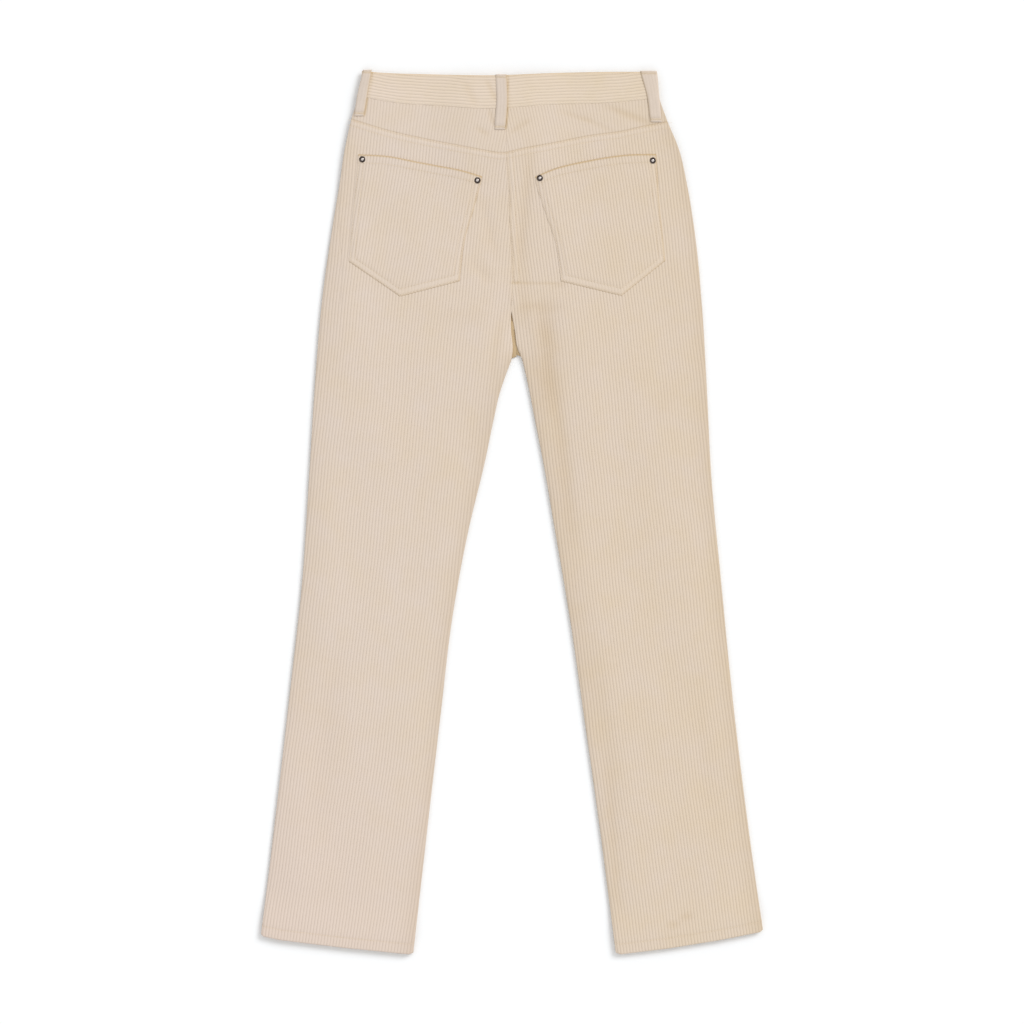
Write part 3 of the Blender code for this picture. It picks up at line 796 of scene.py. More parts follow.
LOOP = 1.8
LOOP_SEAM_Y = 485.0
TACK_IN, TOP_TACK_IN = 3.4, 3.0  # from a loop's foot and top to the bartacks across it
TACK_REACH = 1.5
TACK_DENT, TACK_TINT, TACK_THINNED = 0.45, 0.45, 0.8
PUFF, PUFF_AT, PUFF_REACH = 0.35, 2.4 * TACK_IN, 4.0  # the strip bulges above its foot
LOOP_SIDE_ROUND, LOOP_FOOT_ROUND, LOOP_TOP_ROUND = (2.2, 0.8), (1.5, 0.7), (2.0, 0.5)
# Painted shade along a loop's folded sides, strength and reach: a strong line on one side, a faint one on the
# other.
DARK_SIDE_SHADE, FAINT_SIDE_SHADE = (0.75, 1.0), (0.1, 0.8)
LOOP_LENGTH, LOOP_ROW = 66.0, 2.5
LOOP_FOOT_ROWS = (0, 0.4, 0.8, 1.2, 1.8, 2.4, 3.2)
LOOP_TOP_ROWS = (0, 0.5, 1.2, 2.0, 2.8, 3.6, 4.4)
# The last column says which side takes the strong painted shade line: 1 the right, -1 the left.
Loop = namedtuple("Loop", "name top_x top_y seam_x foot_x foot_y top_width foot_width worn_fold")
FRONT_LOOPS = (
    Loop("front_left", -92.0, 511.2, -92.6, -93.5, 447.0, 12.5, 12.5, 1),
    Loop("front_right", 92.0, 513.6, 92.6, 93.5, 449.0, 12.5, 12.5, 1),
)
BACK_LOOPS = (
    Loop("center", -12.9, 511.7, -11.7, -14.2, 447.0, 12.9, 13.0, 1),
    Loop("side_left", -169.2, 517.2, -175.6, -179.2, 463.0, 10.4, 11.8, 1),
    Loop("side_right", 159.6, 516.0, 165.2, 168.4, 456.0, 19.4, 13.8, -1),
)
TURNED_IN = 2.0  # at each end of a loop
LOOP_PILE = 0.3  # the strip's pile is worn thin
loop_cloth = corduroy("loop_corduroy", linear(216, 202, 190), linear(215, 200, 185))


def loop_middle(loop):
    top, foot = Across(loop.top_x, loop.top_y), Across(loop.foot_x, loop.foot_y)
    return line_of((top, Across(loop.seam_x, LOOP_SEAM_Y), foot), "x")


def loop_half(loop, y):
    return mix(loop.foot_width, loop.top_width, ease(y, loop.foot_y, loop.top_y) ** 3) / 2


def loop_cut(loop):
    """The flat size of what shows of a loop, and of its turned ends."""
    width = (loop.foot_width + loop.top_width) / 2
    length = loop.top_y - loop.foot_y + 2 * TURNED_IN
    return {"flat": (width * MM, length * MM)}


def belt_loop(loop, lies_on, faces_up):
    """lies_on is the height of what it is stitched to, or of its plain face when it lies face down."""
    middle = loop_middle(loop)
    up = 1 if faces_up else -1

    def low(y):
        return middle(y) - loop_half(loop, y)

    def high(y):
        return middle(y) + loop_half(loop, y)

    def tacked(y):
        from_foot, from_top = y - loop.foot_y - TACK_IN, loop.top_y - TOP_TACK_IN - y
        return np.maximum(stitched_in(from_foot / TACK_REACH), stitched_in(from_top / TACK_REACH))

    def rounded(x, y):
        sides = nose(x - low(y), *LOOP_SIDE_ROUND) + nose(high(y) - x, *LOOP_SIDE_ROUND)
        ends = nose(y - loop.foot_y, *LOOP_FOOT_ROUND) + nose(loop.top_y - y, *LOOP_TOP_ROUND)
        puffed = PUFF * stitched_in((y - loop.foot_y - PUFF_AT) / PUFF_REACH)
        return sides + ends - TACK_DENT * tacked(y) + puffed

    def pile(x, y):
        inside = plain_sides(x - low(y), x - high(y), y - loop.foot_y, y - loop.top_y)
        return LOOP_PILE * inside * (1 - TACK_THINNED * tacked(y))

    # Painted shade along the strip's folded sides, and the bartacks' thread colour.
    def sewn(x, y):
        # The side with the strong painted shade line, and the side with the faint one.
        mottle_and_shaded_edge, faintly_shaded_edge = (high(y), low(y)) if loop.worn_fold > 0 else (low(y), high(y))
        return tint(x - mottle_and_shaded_edge, *DARK_SIDE_SHADE) + tint(x - faintly_shaded_edge, *FAINT_SIDE_SHADE) + TACK_TINT * tacked(y)

    return Piece(
        low=low,
        high=high,
        start=lambda x: loop.foot_y,
        end=lambda x: loop.top_y,
        rows=rows_of(LOOP_LENGTH, LOOP_ROW, LOOP_FOOT_ROWS, LOOP_TOP_ROWS),
        grain=middle,
        outer=lambda x, y: lies_on(x, y) + up * (LOOP - WALE_HEIGHT + rounded(x, y)),
        lining=lambda x, y: lies_on(x, y) + 0 * x,
        pile=pile,
        sewn=sewn,
        faces_up=faces_up,
    )


front_loops = {loop.name: belt_loop(loop, lambda x, y: LOOP, faces_up=False) for loop in FRONT_LOOPS}
for loop in FRONT_LOOPS:
    name, node = "loop_" + loop.name, "belt_loop_" + loop.name
    sewn_piece(name, front_loops[loop.name], loop_cloth, node, loop_cut(loop))

# ---- Button -------------------------------------------------------------------------------
# A stamped metal jeans button riveted to the left end of the waistband; it holds the fly shut
# and lies under the garment.

Stud = namedtuple("Stud", "name x y")
BUTTON = Stud("button", -19.0, 493.5)
BUTTON_BACK = 1.8  # how high above the table its back is
Turn = namedtuple("Turn", "radius height polish")
BUTTON_PROFILE = (
    Turn(0.0, 1.45, 1.0),
    Turn(2.2, 1.4, 1.0),
    Turn(3.0, 1.1, 0.6),
    Turn(5.6, 1.15, 0.2),
    Turn(6.4, 1.55, 0.3),
    Turn(7.3, 1.8, 0.7),
    Turn(8.1, 1.6, 0.4),
    Turn(8.5, 1.1, 0.0),
    Turn(8.2, 0.5, 0.0),
    Turn(5.0, 0.0, 0.0),
    Turn(0.0, 0.0, 0.0),
)
ROUND_STEPS = 40


SCUFFED, DULL, POLISHED_BY, SCUFFED_BY = 0.5, 0.42, 0.14, 0.2


def gunmetal():
    """Blackened metal, polished bright by rubbing where it stands highest."""
    material, nodes, link = fresh_material("gunmetal", {"Metallic": 1.0})
    place = nodes.add("ShaderNodeTexCoord", output="Object")
    polish = nodes.attribute("polish")
    scuffs = nodes.noise(place, scale=900.0, detail=4.0)
    bright = (polish + (scuffs - 0.5) * SCUFFED).clamped()
    dark, shine = (0.05, 0.035, 0.03, 1), (0.78, 0.72, 0.68, 1)
    link(nodes.blend(bright, dark, shine), "Base Color")
    link(DULL - bright * POLISHED_BY + (scuffs - 0.5) * SCUFFED_BY, "Roughness")
    return material


stud_metal = gunmetal()


def turned(name, profile, x, y, z, up, node):
    """A round metal piece from its profile, given from the middle of its face outwards."""
    angles = np.arange(ROUND_STEPS) * 2 * np.pi / ROUND_STEPS
    ring = np.column_stack([np.cos(angles), np.sin(angles)])
    inner = [turn for turn in profile if turn.radius > 0]
    verts = [(0, 0, profile[0].height)]
    polish = [profile[0].polish]
    for turn in inner:
        verts += [(turn.radius * a, turn.radius * b, turn.height) for a, b in ring]
        polish += [turn.polish] * ROUND_STEPS
    verts.append((0, 0, profile[-1].height))
    polish.append(profile[-1].polish)
    faces = []
    for i in range(ROUND_STEPS):
        after = (i + 1) % ROUND_STEPS
        faces.append((0, 1 + i, 1 + after))
        for k in range(len(inner) - 1):
            a, b = 1 + k * ROUND_STEPS, 1 + (k + 1) * ROUND_STEPS
            faces.append((a + i, b + i, b + after, a + after))
        last = 1 + (len(inner) - 1) * ROUND_STEPS
        faces.append((last + i, len(verts) - 1, last + after))
    sign = 1 if up else -1
    verts = np.array(verts) * (1, sign, sign) + (x, y, z)
    mesh = bpy.data.meshes.new(name)
    mesh.from_pydata((verts * MM).tolist(), [], faces)
    mesh.attributes.new("polish", "FLOAT", "POINT").data.foreach_set("value", polish)
    mesh.materials.append(stud_metal)
    mesh.shade_smooth()
    obj = placed(name, mesh)
    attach(obj, "root")
    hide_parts(node)


turned("jeans_button", BUTTON_PROFILE, BUTTON.x, BUTTON.y, BUTTON_BACK, False, "button")

# ---- Back leg panels ----------------------------------------------------------------------
# The backs lie on the fronts, sewn to them at the side seams. Air between the layers lets them
# swell a little; worn folds cross them softly, painted shade darkening their hollows. Below the
# yoke, and to the right of the centre back seam, the allowances are folded under and sewn down twice.

BACK_WALL = 1.0
BACK_EDGE = FRONT_WALL + GAP + BACK_WALL
EDGE_ROLL = 1.2
ROLL_REACH = 7.0
ROLL_DROP = {"left": 0.85, "right": 0.5}  # the fabric hangs over more at the left edge of each leg
SWELL = 1.8
SWELL_REACH = 38.0
SEAT_FROM = SLIT_TOP - 22, SLIT_TOP + 25  # below this the inner edges lie low
LEGS_PART = CROTCH - 14, CROTCH + 16
LAP_LEFT, LAP_RIGHT = (-104, -42), (14, 76)  # where the backs climb over the fly's extra layer
SLACK = (Wave(0.22, 23, 61), Wave(0.2, 41, -37, 2.0), Wave(0.16, 13, 90, 0.7), Wave(0.1, 50, 17))
HEM_SWELL = 0.3  # the pressed hem keeps the legs flat there
FELL_RISE = 0.22
FELL_RAMP = 3.0
FELL_WIDTH = 8.4
FELL_FADE = FELL_WIDTH - 1, FELL_WIDTH + 2
FELL_ROWS = (1.7, FELL_WIDTH - 0.8)
FELL_END = 268.0
# A thin painted shadow line beside two of the back loops: its strength, how far from the loop's edge, and its
# half width.
LOOP_SHADOW, LOOP_SHADOW_AT, LOOP_SHADOW_REACH = 0.8, 0.7, 1.3
FELL_LIT = 0.3  # how much paler than a groove the pressed fell is
LEFT_EDGE_SHADE = {"left": 0.10, "right": 0.15}  # painted shade, by leg, along its edge that looks left
LEFT_EDGE_SHADE_REACH = 20.0
LEFT_EDGE_SHADE_DOWN_TO = -330.0, -150.0
RIGHT_EDGE_SHADE, RIGHT_EDGE_SHADE_REACH = 0.15, 6.0  # painted shade along the edges that look right
# Painted grey shade in the grooves near a leg's edge that looks right: strength and reach.
RIGHT_EDGE_GROOVE_SHADE, RIGHT_EDGE_GROOVE_SHADE_REACH = 0.75, 9.0
FAR_AWAY = 100.0  # where a seam or an edge isn't there, it counts as this far away
YOKE_DIP, CENTRE_DIP, HEM_ROUND = (1.0, 0.08), (1.0, 0.03), (1.4, 0.2)
# Painted shade along the yoke seam and the centre back seam: strength and reach.
YOKE_TINT, CENTRE_TINT = (0.50, 0.8), (0.22, 0.9)
SEAT_ROW_TINT, FINE_ROW_TINT = 0.16, 0.14
YOKE_TOP = 6.2
YOKE_SEAM = (
    Across(-190, 460.2),
    Across(-143, 445.8),
    Across(-108, 437.8),
    Across(-65, 429.3),
    Across(-37, 424.0),
    Across(-10, 420.4),
    Across(12, 425.0),
    Across(47, 431.6),
    Across(91, 440.4),
    Across(130, 445.8),
    Across(152, 450.9),
    Across(184, 457.0),
)
YOKE_LOWEST = 420.4
yoke_seam = line_of(YOKE_SEAM, "y", by="x")

# From one end of a fold to the other: its half width, how high it rises or how deep it falls,
# how much warm painted shade darkens it, and how strongly it draws the wales together.
Fold = namedtuple("Fold", "x y end_x end_y width rise stain draw", defaults=(0.0, 0.0))
FOLDS = (
    Fold(38, 240, 45, 120, 13, -0.5, 0.40, 0.16),
    Fold(8, 330, 16, 220, 11, -0.1, 0.14),
    Fold(-3, 250, 8, 241, 3.5, 0.5),
    Fold(49, 150, 70, -30, 9, -0.6, 0.22, 0.06),
    Fold(19, 250, 34, 150, 6, 0.5),
    Fold(88, 215, 96, 10, 24, 0.7),
    Fold(21, 425, 9, 300, 7, -0.6, 0.16, 0.12),
    Fold(6, 239, 62, 240, 5, -0.3, 0.20),
    Fold(-1, 268, 70, 267, 1.8, -0.10, 0.26),
    Fold(-1, 268, 9, 268, 1.6, -0.15, 0.30),
    Fold(-35, 365, -19, 300, 7, -0.5, 0.08, 0.06),
    Fold(-49, 295, -26, 269, 7, -0.5, 0.08),
    Fold(-99, 236, -26, 230, 9, 0.3, 0.05),
    Fold(-12, 232, -24, 160, 6, -0.3, 0.14),
    Fold(68, -30, 126, 14, 11, 0.4),
    Fold(173, 108, 191, 154, 11, 0.4, 0.06),
    Fold(-201, 84, -154, 96, 11, 0.4),
    Fold(-22, 160, -60, 60, 16, -0.5, 0.04),
    Fold(-150, -60, -172, -190, 20, 0.5),
    Fold(-205, -150, -235, -380, 16, -0.5, 0.05),
    Fold(150, -140, 180, -300, 20, 0.5),
    Fold(210, -200, 238, -400, 15, -0.5, 0.04),
    Fold(-140, -300, -175, -430, 18, 0.5),
    Fold(90, -160, 120, -340, 13, -0.5, 0.08),
    Fold(112, -300, 124, -480, 7, -0.4, 0.16),
    Fold(181, -486, 214, -468, 3, -0.35, 0.30),
    Fold(150, -480, 176, -489, 4, 0.25),
    Fold(-43, 450, -26, 441, 3, -0.25, 0.22),
    Fold(-27, 471, -21, 452, 2.5, -0.35, 0.25),
    Fold(-2, 444, 22, 459, 3, -0.25, 0.22),
    Fold(108, 475, 168, 452, 4, -0.30, 0.28),
    Fold(80, 463, 120, 444, 3, -0.18, 0.16),
    Fold(60, 468, 92, 456, 3, -0.18, 0.16),
    Fold(-56, 503, -42, 475, 4, -0.20, 0.14),
    Fold(-30, 505, -18, 480, 3, -0.20, 0.25),
)


FADE_IN, FADE_OUT = (-0.2, 0.3), (0.7, 1.2)  # shares of a fold's length


def along_folds(x, y, column, sideways=False):
    """Adds up one column of the folds at each point, or that column times the distance beside a fold."""
    total = 0.0
    for fold in FOLDS:
        run_x, run_y = fold.end_x - fold.x, fold.end_y - fold.y
        length = np.hypot(run_x, run_y)
        share = ((x - fold.x) * run_x + (y - fold.y) * run_y) / length**2
        off = ((x - fold.x) * run_y - (y - fold.y) * run_x) / length
        fade = ease(share, *FADE_IN) * (1 - ease(share, *FADE_OUT))
        effect = getattr(fold, column) * (off * run_y / length if sideways else 1)
        total = total + effect * fade * np.exp(-((off / fold.width) ** 2))
    return total


def drawn_together(x, y):
    return sway(x, y) - along_folds(x, y, "draw", sideways=True)


def crown(distance, reach):
    share = np.clip(distance / reach, 0, 1)
    return share * (2 - share)


def lap_hump(x):
    """1 over the fly's extra layer at the waist."""
    return ease(x, *LAP_LEFT) * (1 - ease(x, *LAP_RIGHT))


def lies_at(x, y, side, rounded=True):
    """The ground of the upper side; its outer edges round down to the seams."""
    outer = abs(x - outseam[side](y))
    inner = abs(x - inner_edge[side](y))
    seat = ease(y, *SEAT_FROM)
    from_hem = y - hem[side](x)
    full = mix(HEM_SWELL, 1, ease(from_hem, 0, SWELL_REACH * 2))
    reach = crown(outer, SWELL_REACH) * mix(crown(inner, SWELL_REACH), 1, seat) * full
    hem_rise = 2 * HEM_FOLD * (1 - ease(from_hem, HEM_DEPTH, 5 * HEM_DEPTH))
    folds = along_folds(x, y, "rise")
    legs = BACK_EDGE + EDGE_ROLL + hem_rise + SWELL * reach + (folds + ripple(x, y, SLACK)) * reach
    waist = YOKE_TOP + (BAND + GAP) * lap_hump(x) + folds
    height = mix(legs, waist, ease(y, LIFT_FROM, LIFT_TO))
    if rounded:
        free = 1 - ease(y, *LEGS_PART)
        inward = "right" if side == "left" else "left"
        height = height + nose(outer, ROLL_REACH, ROLL_DROP[side])
        height = height + nose(inner, ROLL_REACH, ROLL_DROP[inward]) * free
    return height


def back_lining(x, y, side):
    outer = abs(x - outseam[side](y))
    inner = abs(x - inner_edge[side](y))
    seat = ease(y, *SEAT_FROM)
    drawn_in = EDGE_ROLL * (1 - crown(outer, ROLL_REACH) * mix(crown(inner, ROLL_REACH), 1, seat))
    return lies_at(x, y, side, rounded=False) - drawn_in - BACK_WALL - hem_fold(x, y, side)


LEG = 935.0
LEG_ROW = 7.0
HEM_ROWS = (0, 0.5, 1.2, 2.5, 5, 8, 11, 12, 13, 15, 19)
YOKE_ROWS = (0, 0.5, 1.1, 1.7, 2.4, 4, 6, 7, 7.6, 8.3, 9, 9.8, 12, 16)
FELL_END_ROWS = LEG - YOKE_LOWEST + FELL_END, 12, 1.5


def side_distances(x, y, side):
    """How far a point of a leg is from its edge that looks left, and from the one that looks right."""
    outer = abs(x - outseam[side](y))
    inner = abs(x - inner_edge[side](y)) + FAR_AWAY * ease(y, CROTCH - 10, SLIT_TOP)
    return (outer, inner) if side == "left" else (inner, outer)


def shaded_edges(x, y, side):
    """Painted shade, warm and yellowish, along a leg's edges where the cloth rounds away."""
    left, right = side_distances(x, y, side)
    left_shade = LEFT_EDGE_SHADE[side] * np.exp(-((left / LEFT_EDGE_SHADE_REACH) ** 2)) * ease(y, *LEFT_EDGE_SHADE_DOWN_TO)
    return left_shade + RIGHT_EDGE_SHADE * np.exp(-right / RIGHT_EDGE_SHADE_REACH)


# Painted shade deepening the grooves near a leg's edge that looks right.
def edge_groove_shade(x, y, side):
    _, right = side_distances(x, y, side)
    return RIGHT_EDGE_GROOVE_SHADE * np.exp(-right / RIGHT_EDGE_GROOVE_SHADE_REACH)


def back_edges(side):
    """The long edges of a back piece, its left one first."""
    if side == "left":
        return outseam["left"], lambda y: inner_edge["left"](y) - SEAM / 2
    return lambda y: inner_edge["right"](y) + SEAM / 2, outseam["right"]


def back_panel(side):
    low, high = back_edges(side)

    def top(x):
        return yoke_seam(x) - SEAM / 2

    def fell(from_seam):
        return ease(from_seam, 0, FELL_RAMP) * (1 - ease(from_seam, *FELL_FADE))

    def felled(x, y):
        """The allowances folded under below the yoke and to the right of the centre seam."""
        along_seat = fell(x - inner_edge["right"](y)) * ease(y, FELL_END, FELL_END + 4)
        return FELL_RISE * np.maximum(fell(top(x) - y), along_seat if side == "right" else 0)

    def fell_rows(from_seam):
        return sum(stitched_in(from_seam - inset) for inset in FELL_ROWS)

    def seat_rows(x, y):
        rows = fell_rows(x - inner_edge["right"](y))
        return rows * ease(y, FELL_END - 2, FELL_END + 2) if side == "right" else 0 * x

    def hem_row(x, y):
        return stitched_in(y - hem[side](x) - HEM_DEPTH)

    def rows_of_stitches(x, y):
        return np.minimum(seat_rows(x, y) + fell_rows(top(x) - y) + hem_row(x, y), 1)

    def in_seat(y):
        return ease(y, SLIT_TOP - 4, SLIT_TOP + 4)

    def centre(x, y):
        return abs(x - inner_edge[side](y)) + 2 * FAR_AWAY * (1 - in_seat(y))

    def outer(x, y):
        seams = nose(top(x) - y, *YOKE_DIP) + nose(centre(x, y), *CENTRE_DIP)
        dips = seams + nose(y - hem[side](x), *HEM_ROUND)
        return lies_at(x, y, side) + felled(x, y) + dips - DENT * rows_of_stitches(x, y)

    def pile(x, y):
        inside = x - inner_edge[side](y) + 2 * FAR_AWAY * in_seat(y)
        rims = plain_sides(x - outseam[side](y), y - hem[side](x), inside)
        return rims * seamed_sides(top(x) - y, centre(x, y)) * (1 - THINNED * rows_of_stitches(x, y))

    # Painted shade along the seams, creases and edges, and the yellow of the stitched rows.
    def sewn(x, y):
        seams = tint(top(x) - y, *YOKE_TINT) + tint(centre(x, y), *CENTRE_TINT)
        rows = SEAT_ROW_TINT * seat_rows(x, y) + FINE_ROW_TINT * (fell_rows(top(x) - y) + hem_row(x, y))
        return seams + rows + along_folds(x, y, "stain") + shaded_edges(x, y, side)

    return Piece(
        low=low,
        high=high,
        start=hem[side],
        end=top,
        rows=with_rows(rows_of(LEG, LEG_ROW, HEM_ROWS, YOKE_ROWS), LEG, *FELL_END_ROWS),
        grain=grain[side],
        outer=outer,
        lining=lambda x, y: back_lining(x, y, side),
        pile=pile,
        sewn=sewn,
        drift=drawn_together,
        handled=lambda x, y: edge_groove_shade(x, y, side) - FELL_LIT * felled(x, y) / FELL_RISE,
    )


def shadow_beside_loops(x, y):
    """A thin painted shadow line on the cloth to the right of two of the loops."""
    total = 0.0
    for loop in BACK_LOOPS[:2]:
        from_loop = x - loop_middle(loop)(y) - loop_half(loop, y)
        shadow_line = np.exp(-(((from_loop - LOOP_SHADOW_AT) / LOOP_SHADOW_REACH) ** 2))
        total = total + shadow_line * ease(y, loop.foot_y - 2, loop.foot_y + 3)
    return LOOP_SHADOW * total


LEG_BACK_CUT = {"flat": (0.32, 0.99), "area": 0.195}
back = {side: back_panel(side) for side in SIDES}
for side in back:
    rests_on = ["front_panel_" + side]
    sewn_piece("back_panel_" + side, back[side], leg_cloth, "back_" + side, LEG_BACK_CUT)

# ---- Yokes --------------------------------------------------------------------------------
# A shaped strip above each back panel takes the place of darts. Its wales lean outwards more
# than those below, and run under the waistband.

YOKE_LEAN = 0.19
YOKE_UPRIGHT = 0.6  # how much of the lean is lost there
YOKE_MIDDLE = 430.6
YOKE_WALE = 0.65 * WALE_HEIGHT  # pressed flatter with the waistband
YOKE_LEVELLED = 50, 150  # from the centre out, where the lean is lost
# Painted shade along the yoke's seams at its foot and top: strength and reach.
YOKE_FOOT_TINT, YOKE_TOP_TINT = (0.30, 0.8), (0.12, 0.8)
YOKE_LENGTH, YOKE_ROW = 50.0, 3.0
YOKE_END_ROWS = (0, 0.5, 1.1, 1.8, 3)
YOKE_CUT = {"flat": (0.19, 0.072), "area": 0.0072}


def yoke(side):
    near, far = outseam[side], inner_edge[side]
    low, high = back_edges(side)
    lean = YOKE_LEAN if side == "left" else -YOKE_LEAN

    def outer(x, y):
        return lies_at(x, y, side) + nose(y - yoke_seam(x), *YOKE_DIP) + nose(x - far(y), *CENTRE_DIP)

    # Painted shade along the seams, creases and edges, and the thin painted shadow beside the loops.
    def sewn(x, y):
        seams = tint(y - yoke_seam(x), *YOKE_FOOT_TINT) + tint(band_seam(x) - y, *YOKE_TOP_TINT)
        return seams + along_folds(x, y, "stain") + shaded_edges(x, y, side) + shadow_beside_loops(x, y)

    def pile(x, y):
        return plain_sides(x - near(y)) * seamed_sides(x - far(y), y - yoke_seam(x), y - band_seam(x))

    def drift(x, y):
        """Towards the hips the wales lean less."""
        return sway(x, y) - YOKE_UPRIGHT * lean * ease(abs(x), *YOKE_LEVELLED) * (y - YOKE_MIDDLE)

    return Piece(
        low=low,
        high=high,
        start=lambda x: yoke_seam(x) + SEAM / 2,
        end=lambda x: band_seam(x) - SEAM / 2,
        rows=rows_of(YOKE_LENGTH, YOKE_ROW, YOKE_END_ROWS, YOKE_END_ROWS),
        grain=lambda y: grain[side](YOKE_MIDDLE) + (y - YOKE_MIDDLE) * lean,
        outer=outer,
        lining=lambda x, y: back_lining(x, y, side),
        pile=pile,
        sewn=sewn,
        drift=drift,
        handled=lambda x, y: edge_groove_shade(x, y, side),
    )


yokes = {side: yoke(side) for side in SIDES}
for side in yokes:
    name, rests_on = "back_yoke_" + side, ["front_panel_" + side]
    sewn_piece(name, yokes[side], leg_cloth, "yoke_" + side, YOKE_CUT, wale=YOKE_WALE)

# ---- Back waistband -----------------------------------------------------------------------
# The folded strip that finishes the top edge, its wales running round the waist and a little
# wavy where the stitches and the loops pull on it.

BAND_RISE = 0.2
BAND_LIT = 0.14  # how much paler than a leg's groove the band's are
# Painted shade where the waistband's top edge rounds over: strength and reach.
BAND_TINT = 0.8, 1.2
BACK_FOOT_REACH = 2.0
BACK_TOP_ROUND = 2.4, 0.8
BACK_BAND_LENGTH, BACK_BAND_ROW = 350.0, 2.6
BACK_BAND_END_ROWS = (0, 0.6, 1.2, 2.0, 3.0, 4.4)


def band_at(x, y):
    """The ground of the waistband's upper side."""
    return np.where(x < 0, lies_at(x, y, "left"), lies_at(x, y, "right")) + BAND_RISE


def back_band():
    flat_under = FRONT_LIFT + BAND + GAP

    # Painted shade at the top edge and in creases, and the thin painted shadow beside the loops.
    def sewn(x, y):
        return tint(band_top(x) - y, *BAND_TINT) + shadow_beside_loops(x, y) + along_folds(x, y, "stain")

    def outer(x, y):
        edges = nose(y - band_seam(x), BACK_FOOT_REACH, BAND_RISE) + nose(band_top(x) - y, *BACK_TOP_ROUND)
        return band_at(x, y) + edges - DENT * band_stitched(x, y)

    def pile(x, y):
        rims = plain_sides(y - band_top(x), x - outseam["left"](y), x - outseam["right"](y))
        return rims * seamed_sides(y - band_seam(x)) * (1 - THINNED * band_stitched(x, y))

    return Piece(
        low=lambda x: band_seam(x) + SEAM / 2,
        high=band_top,
        start=outseam["left"],
        end=outseam["right"],
        rows=rows_of(BACK_BAND_LENGTH, BACK_BAND_ROW, BACK_BAND_END_ROWS, BACK_BAND_END_ROWS),
        grain=lambda x: band_seam(x) + WALE_PITCH / 2,
        outer=outer,
        lining=lambda x, y: flat_under + (BAND + GAP) * lap_hump(x),
        pile=pile,
        sewn=sewn,
        upright=False,
        drift=band_drift,
        handled=lambda x, y: nowhere(x, y) - BAND_LIT,
    )


back_waist = back_band()
BACK_BAND_CUT = {"flat": (0.352, 0.042)}
rests_on = ["front_band_left", "front_band_right"]
sewn_piece("back_band", back_waist, band_cloth, "waistband_back", BACK_BAND_CUT)

# ---- Back pockets -------------------------------------------------------------------------
# Pointed patches on the seat, the mouth hemmed, edges pressed under and sewn down with two
# rows of stitches. The pile below them is crushed, so they stand up only a little.

POCKET_SIDES = {
    "left": (
        Edges(420, -180.0, -35.1),
        Edges(393, -182.5, -35.1),
        Edges(363, -185.5, -42.1),
        Edges(318, -189.5, -55.0),
        Edges(270, -192.0, -61.4),
    ),
    "right": (
        Edges(420, 29.0, 168.5),
        Edges(390, 27.0, 170.5),
        Edges(353, 37.5, 173.2),
        Edges(318, 49.5, 177.0),
        Edges(270, 57.3, 181.0),
    ),
}
POCKET_MOUTH = {
    "left": (
        Across(-180, 418.3),
        Across(-143, 415.9),
        Across(-117, 410.8),
        Across(-89, 405.4),
        Across(-61, 400.0),
        Across(-35, 392.5),
    ),
    "right": (
        Across(27, 392.0),
        Across(47, 400.5),
        Across(91, 411.3),
        Across(135, 417.8),
        Across(169, 418.6),
    ),
}
POCKET_POINT = {
    "left": (Across(-191, 293.0), Across(-131, 252.0), Across(-61, 270.0)),
    "right": (Across(57, 269.8), Across(128, 252.8), Across(180, 294.5)),
}
POCKET_SLANT = 0.85  # the bottom runs aslant, so the way in from it is this share of the way up
POCKET_HEM = 11.0
HEM_ROW_AT = POCKET_HEM - 1.2
POCKET_ROWS = (1.7, 7.5)  # how far in from the edge its two rows of stitches run
POCKET_WALL = 0.9
POCKET_LAID = 0.1
POCKET_SWELL = 12.0
POCKET_RIDGE, RIDGE_AT, RIDGE_HALF = 0.22, 2.2, 1.8  # the allowance stands up along the bottom
POCKET_EDGE_ROUND, MOUTH_ROUND = (1.2, 0.08), (1.6, 0.25)
# Warm lines along the pocket's right side and its pointed bottom, partly the turned edges' own yellow and
# partly painted shade: strength and reach.
SIDE_TINT, POINT_TINT = (0.8, 1.0), (0.95, 0.6)
# Painted shadow along the pocket mouth's top edge, where it stands off the panel: its half width.
MOUTH_SHADOW_HALF = 1.7
POCKET_ROW_TINT = 0.12
POCKET_LENGTH, POCKET_ROW = 150.0, 3.0
POCKET_FOOT_ROWS = (0, 0.5, 1.2, 2, 3, 5, 7, 8, 9, 10)
POCKET_TOP_ROWS = (0, 0.5, 1.2, 2, 3, 5, 8, 9, 9.8, 10.6, 11.4, 12.4)
POCKET_RIM = 0.15  # the pressed edge is this thick, and the patch swells to its wall further in
POCKET_LEAN = {"left": 0.168, "right": -0.158}
POCKET_MIDDLE = 335.0
CRUSHED = 0.3  # the share of the pile that still stands under what lies on it
SMOOTHED = 0.4
SMOOTHED_FROM = 0.6, 1.6
LIT = 0.85  # how much paler than a groove the smoothed pile is
POCKET_CUT = {"flat": (0.157, 0.168), "area": 0.0205}
pocket_low = {side: line_of(POCKET_SIDES[side], "left") for side in SIDES}
pocket_high = {side: line_of(POCKET_SIDES[side], "right") for side in SIDES}
pocket_mouth = {side: line_of(POCKET_MOUTH[side], "y", by="x") for side in SIDES}
pocket_point = {side: line_of(POCKET_POINT[side], "y", by="x", straight=True) for side in SIDES}


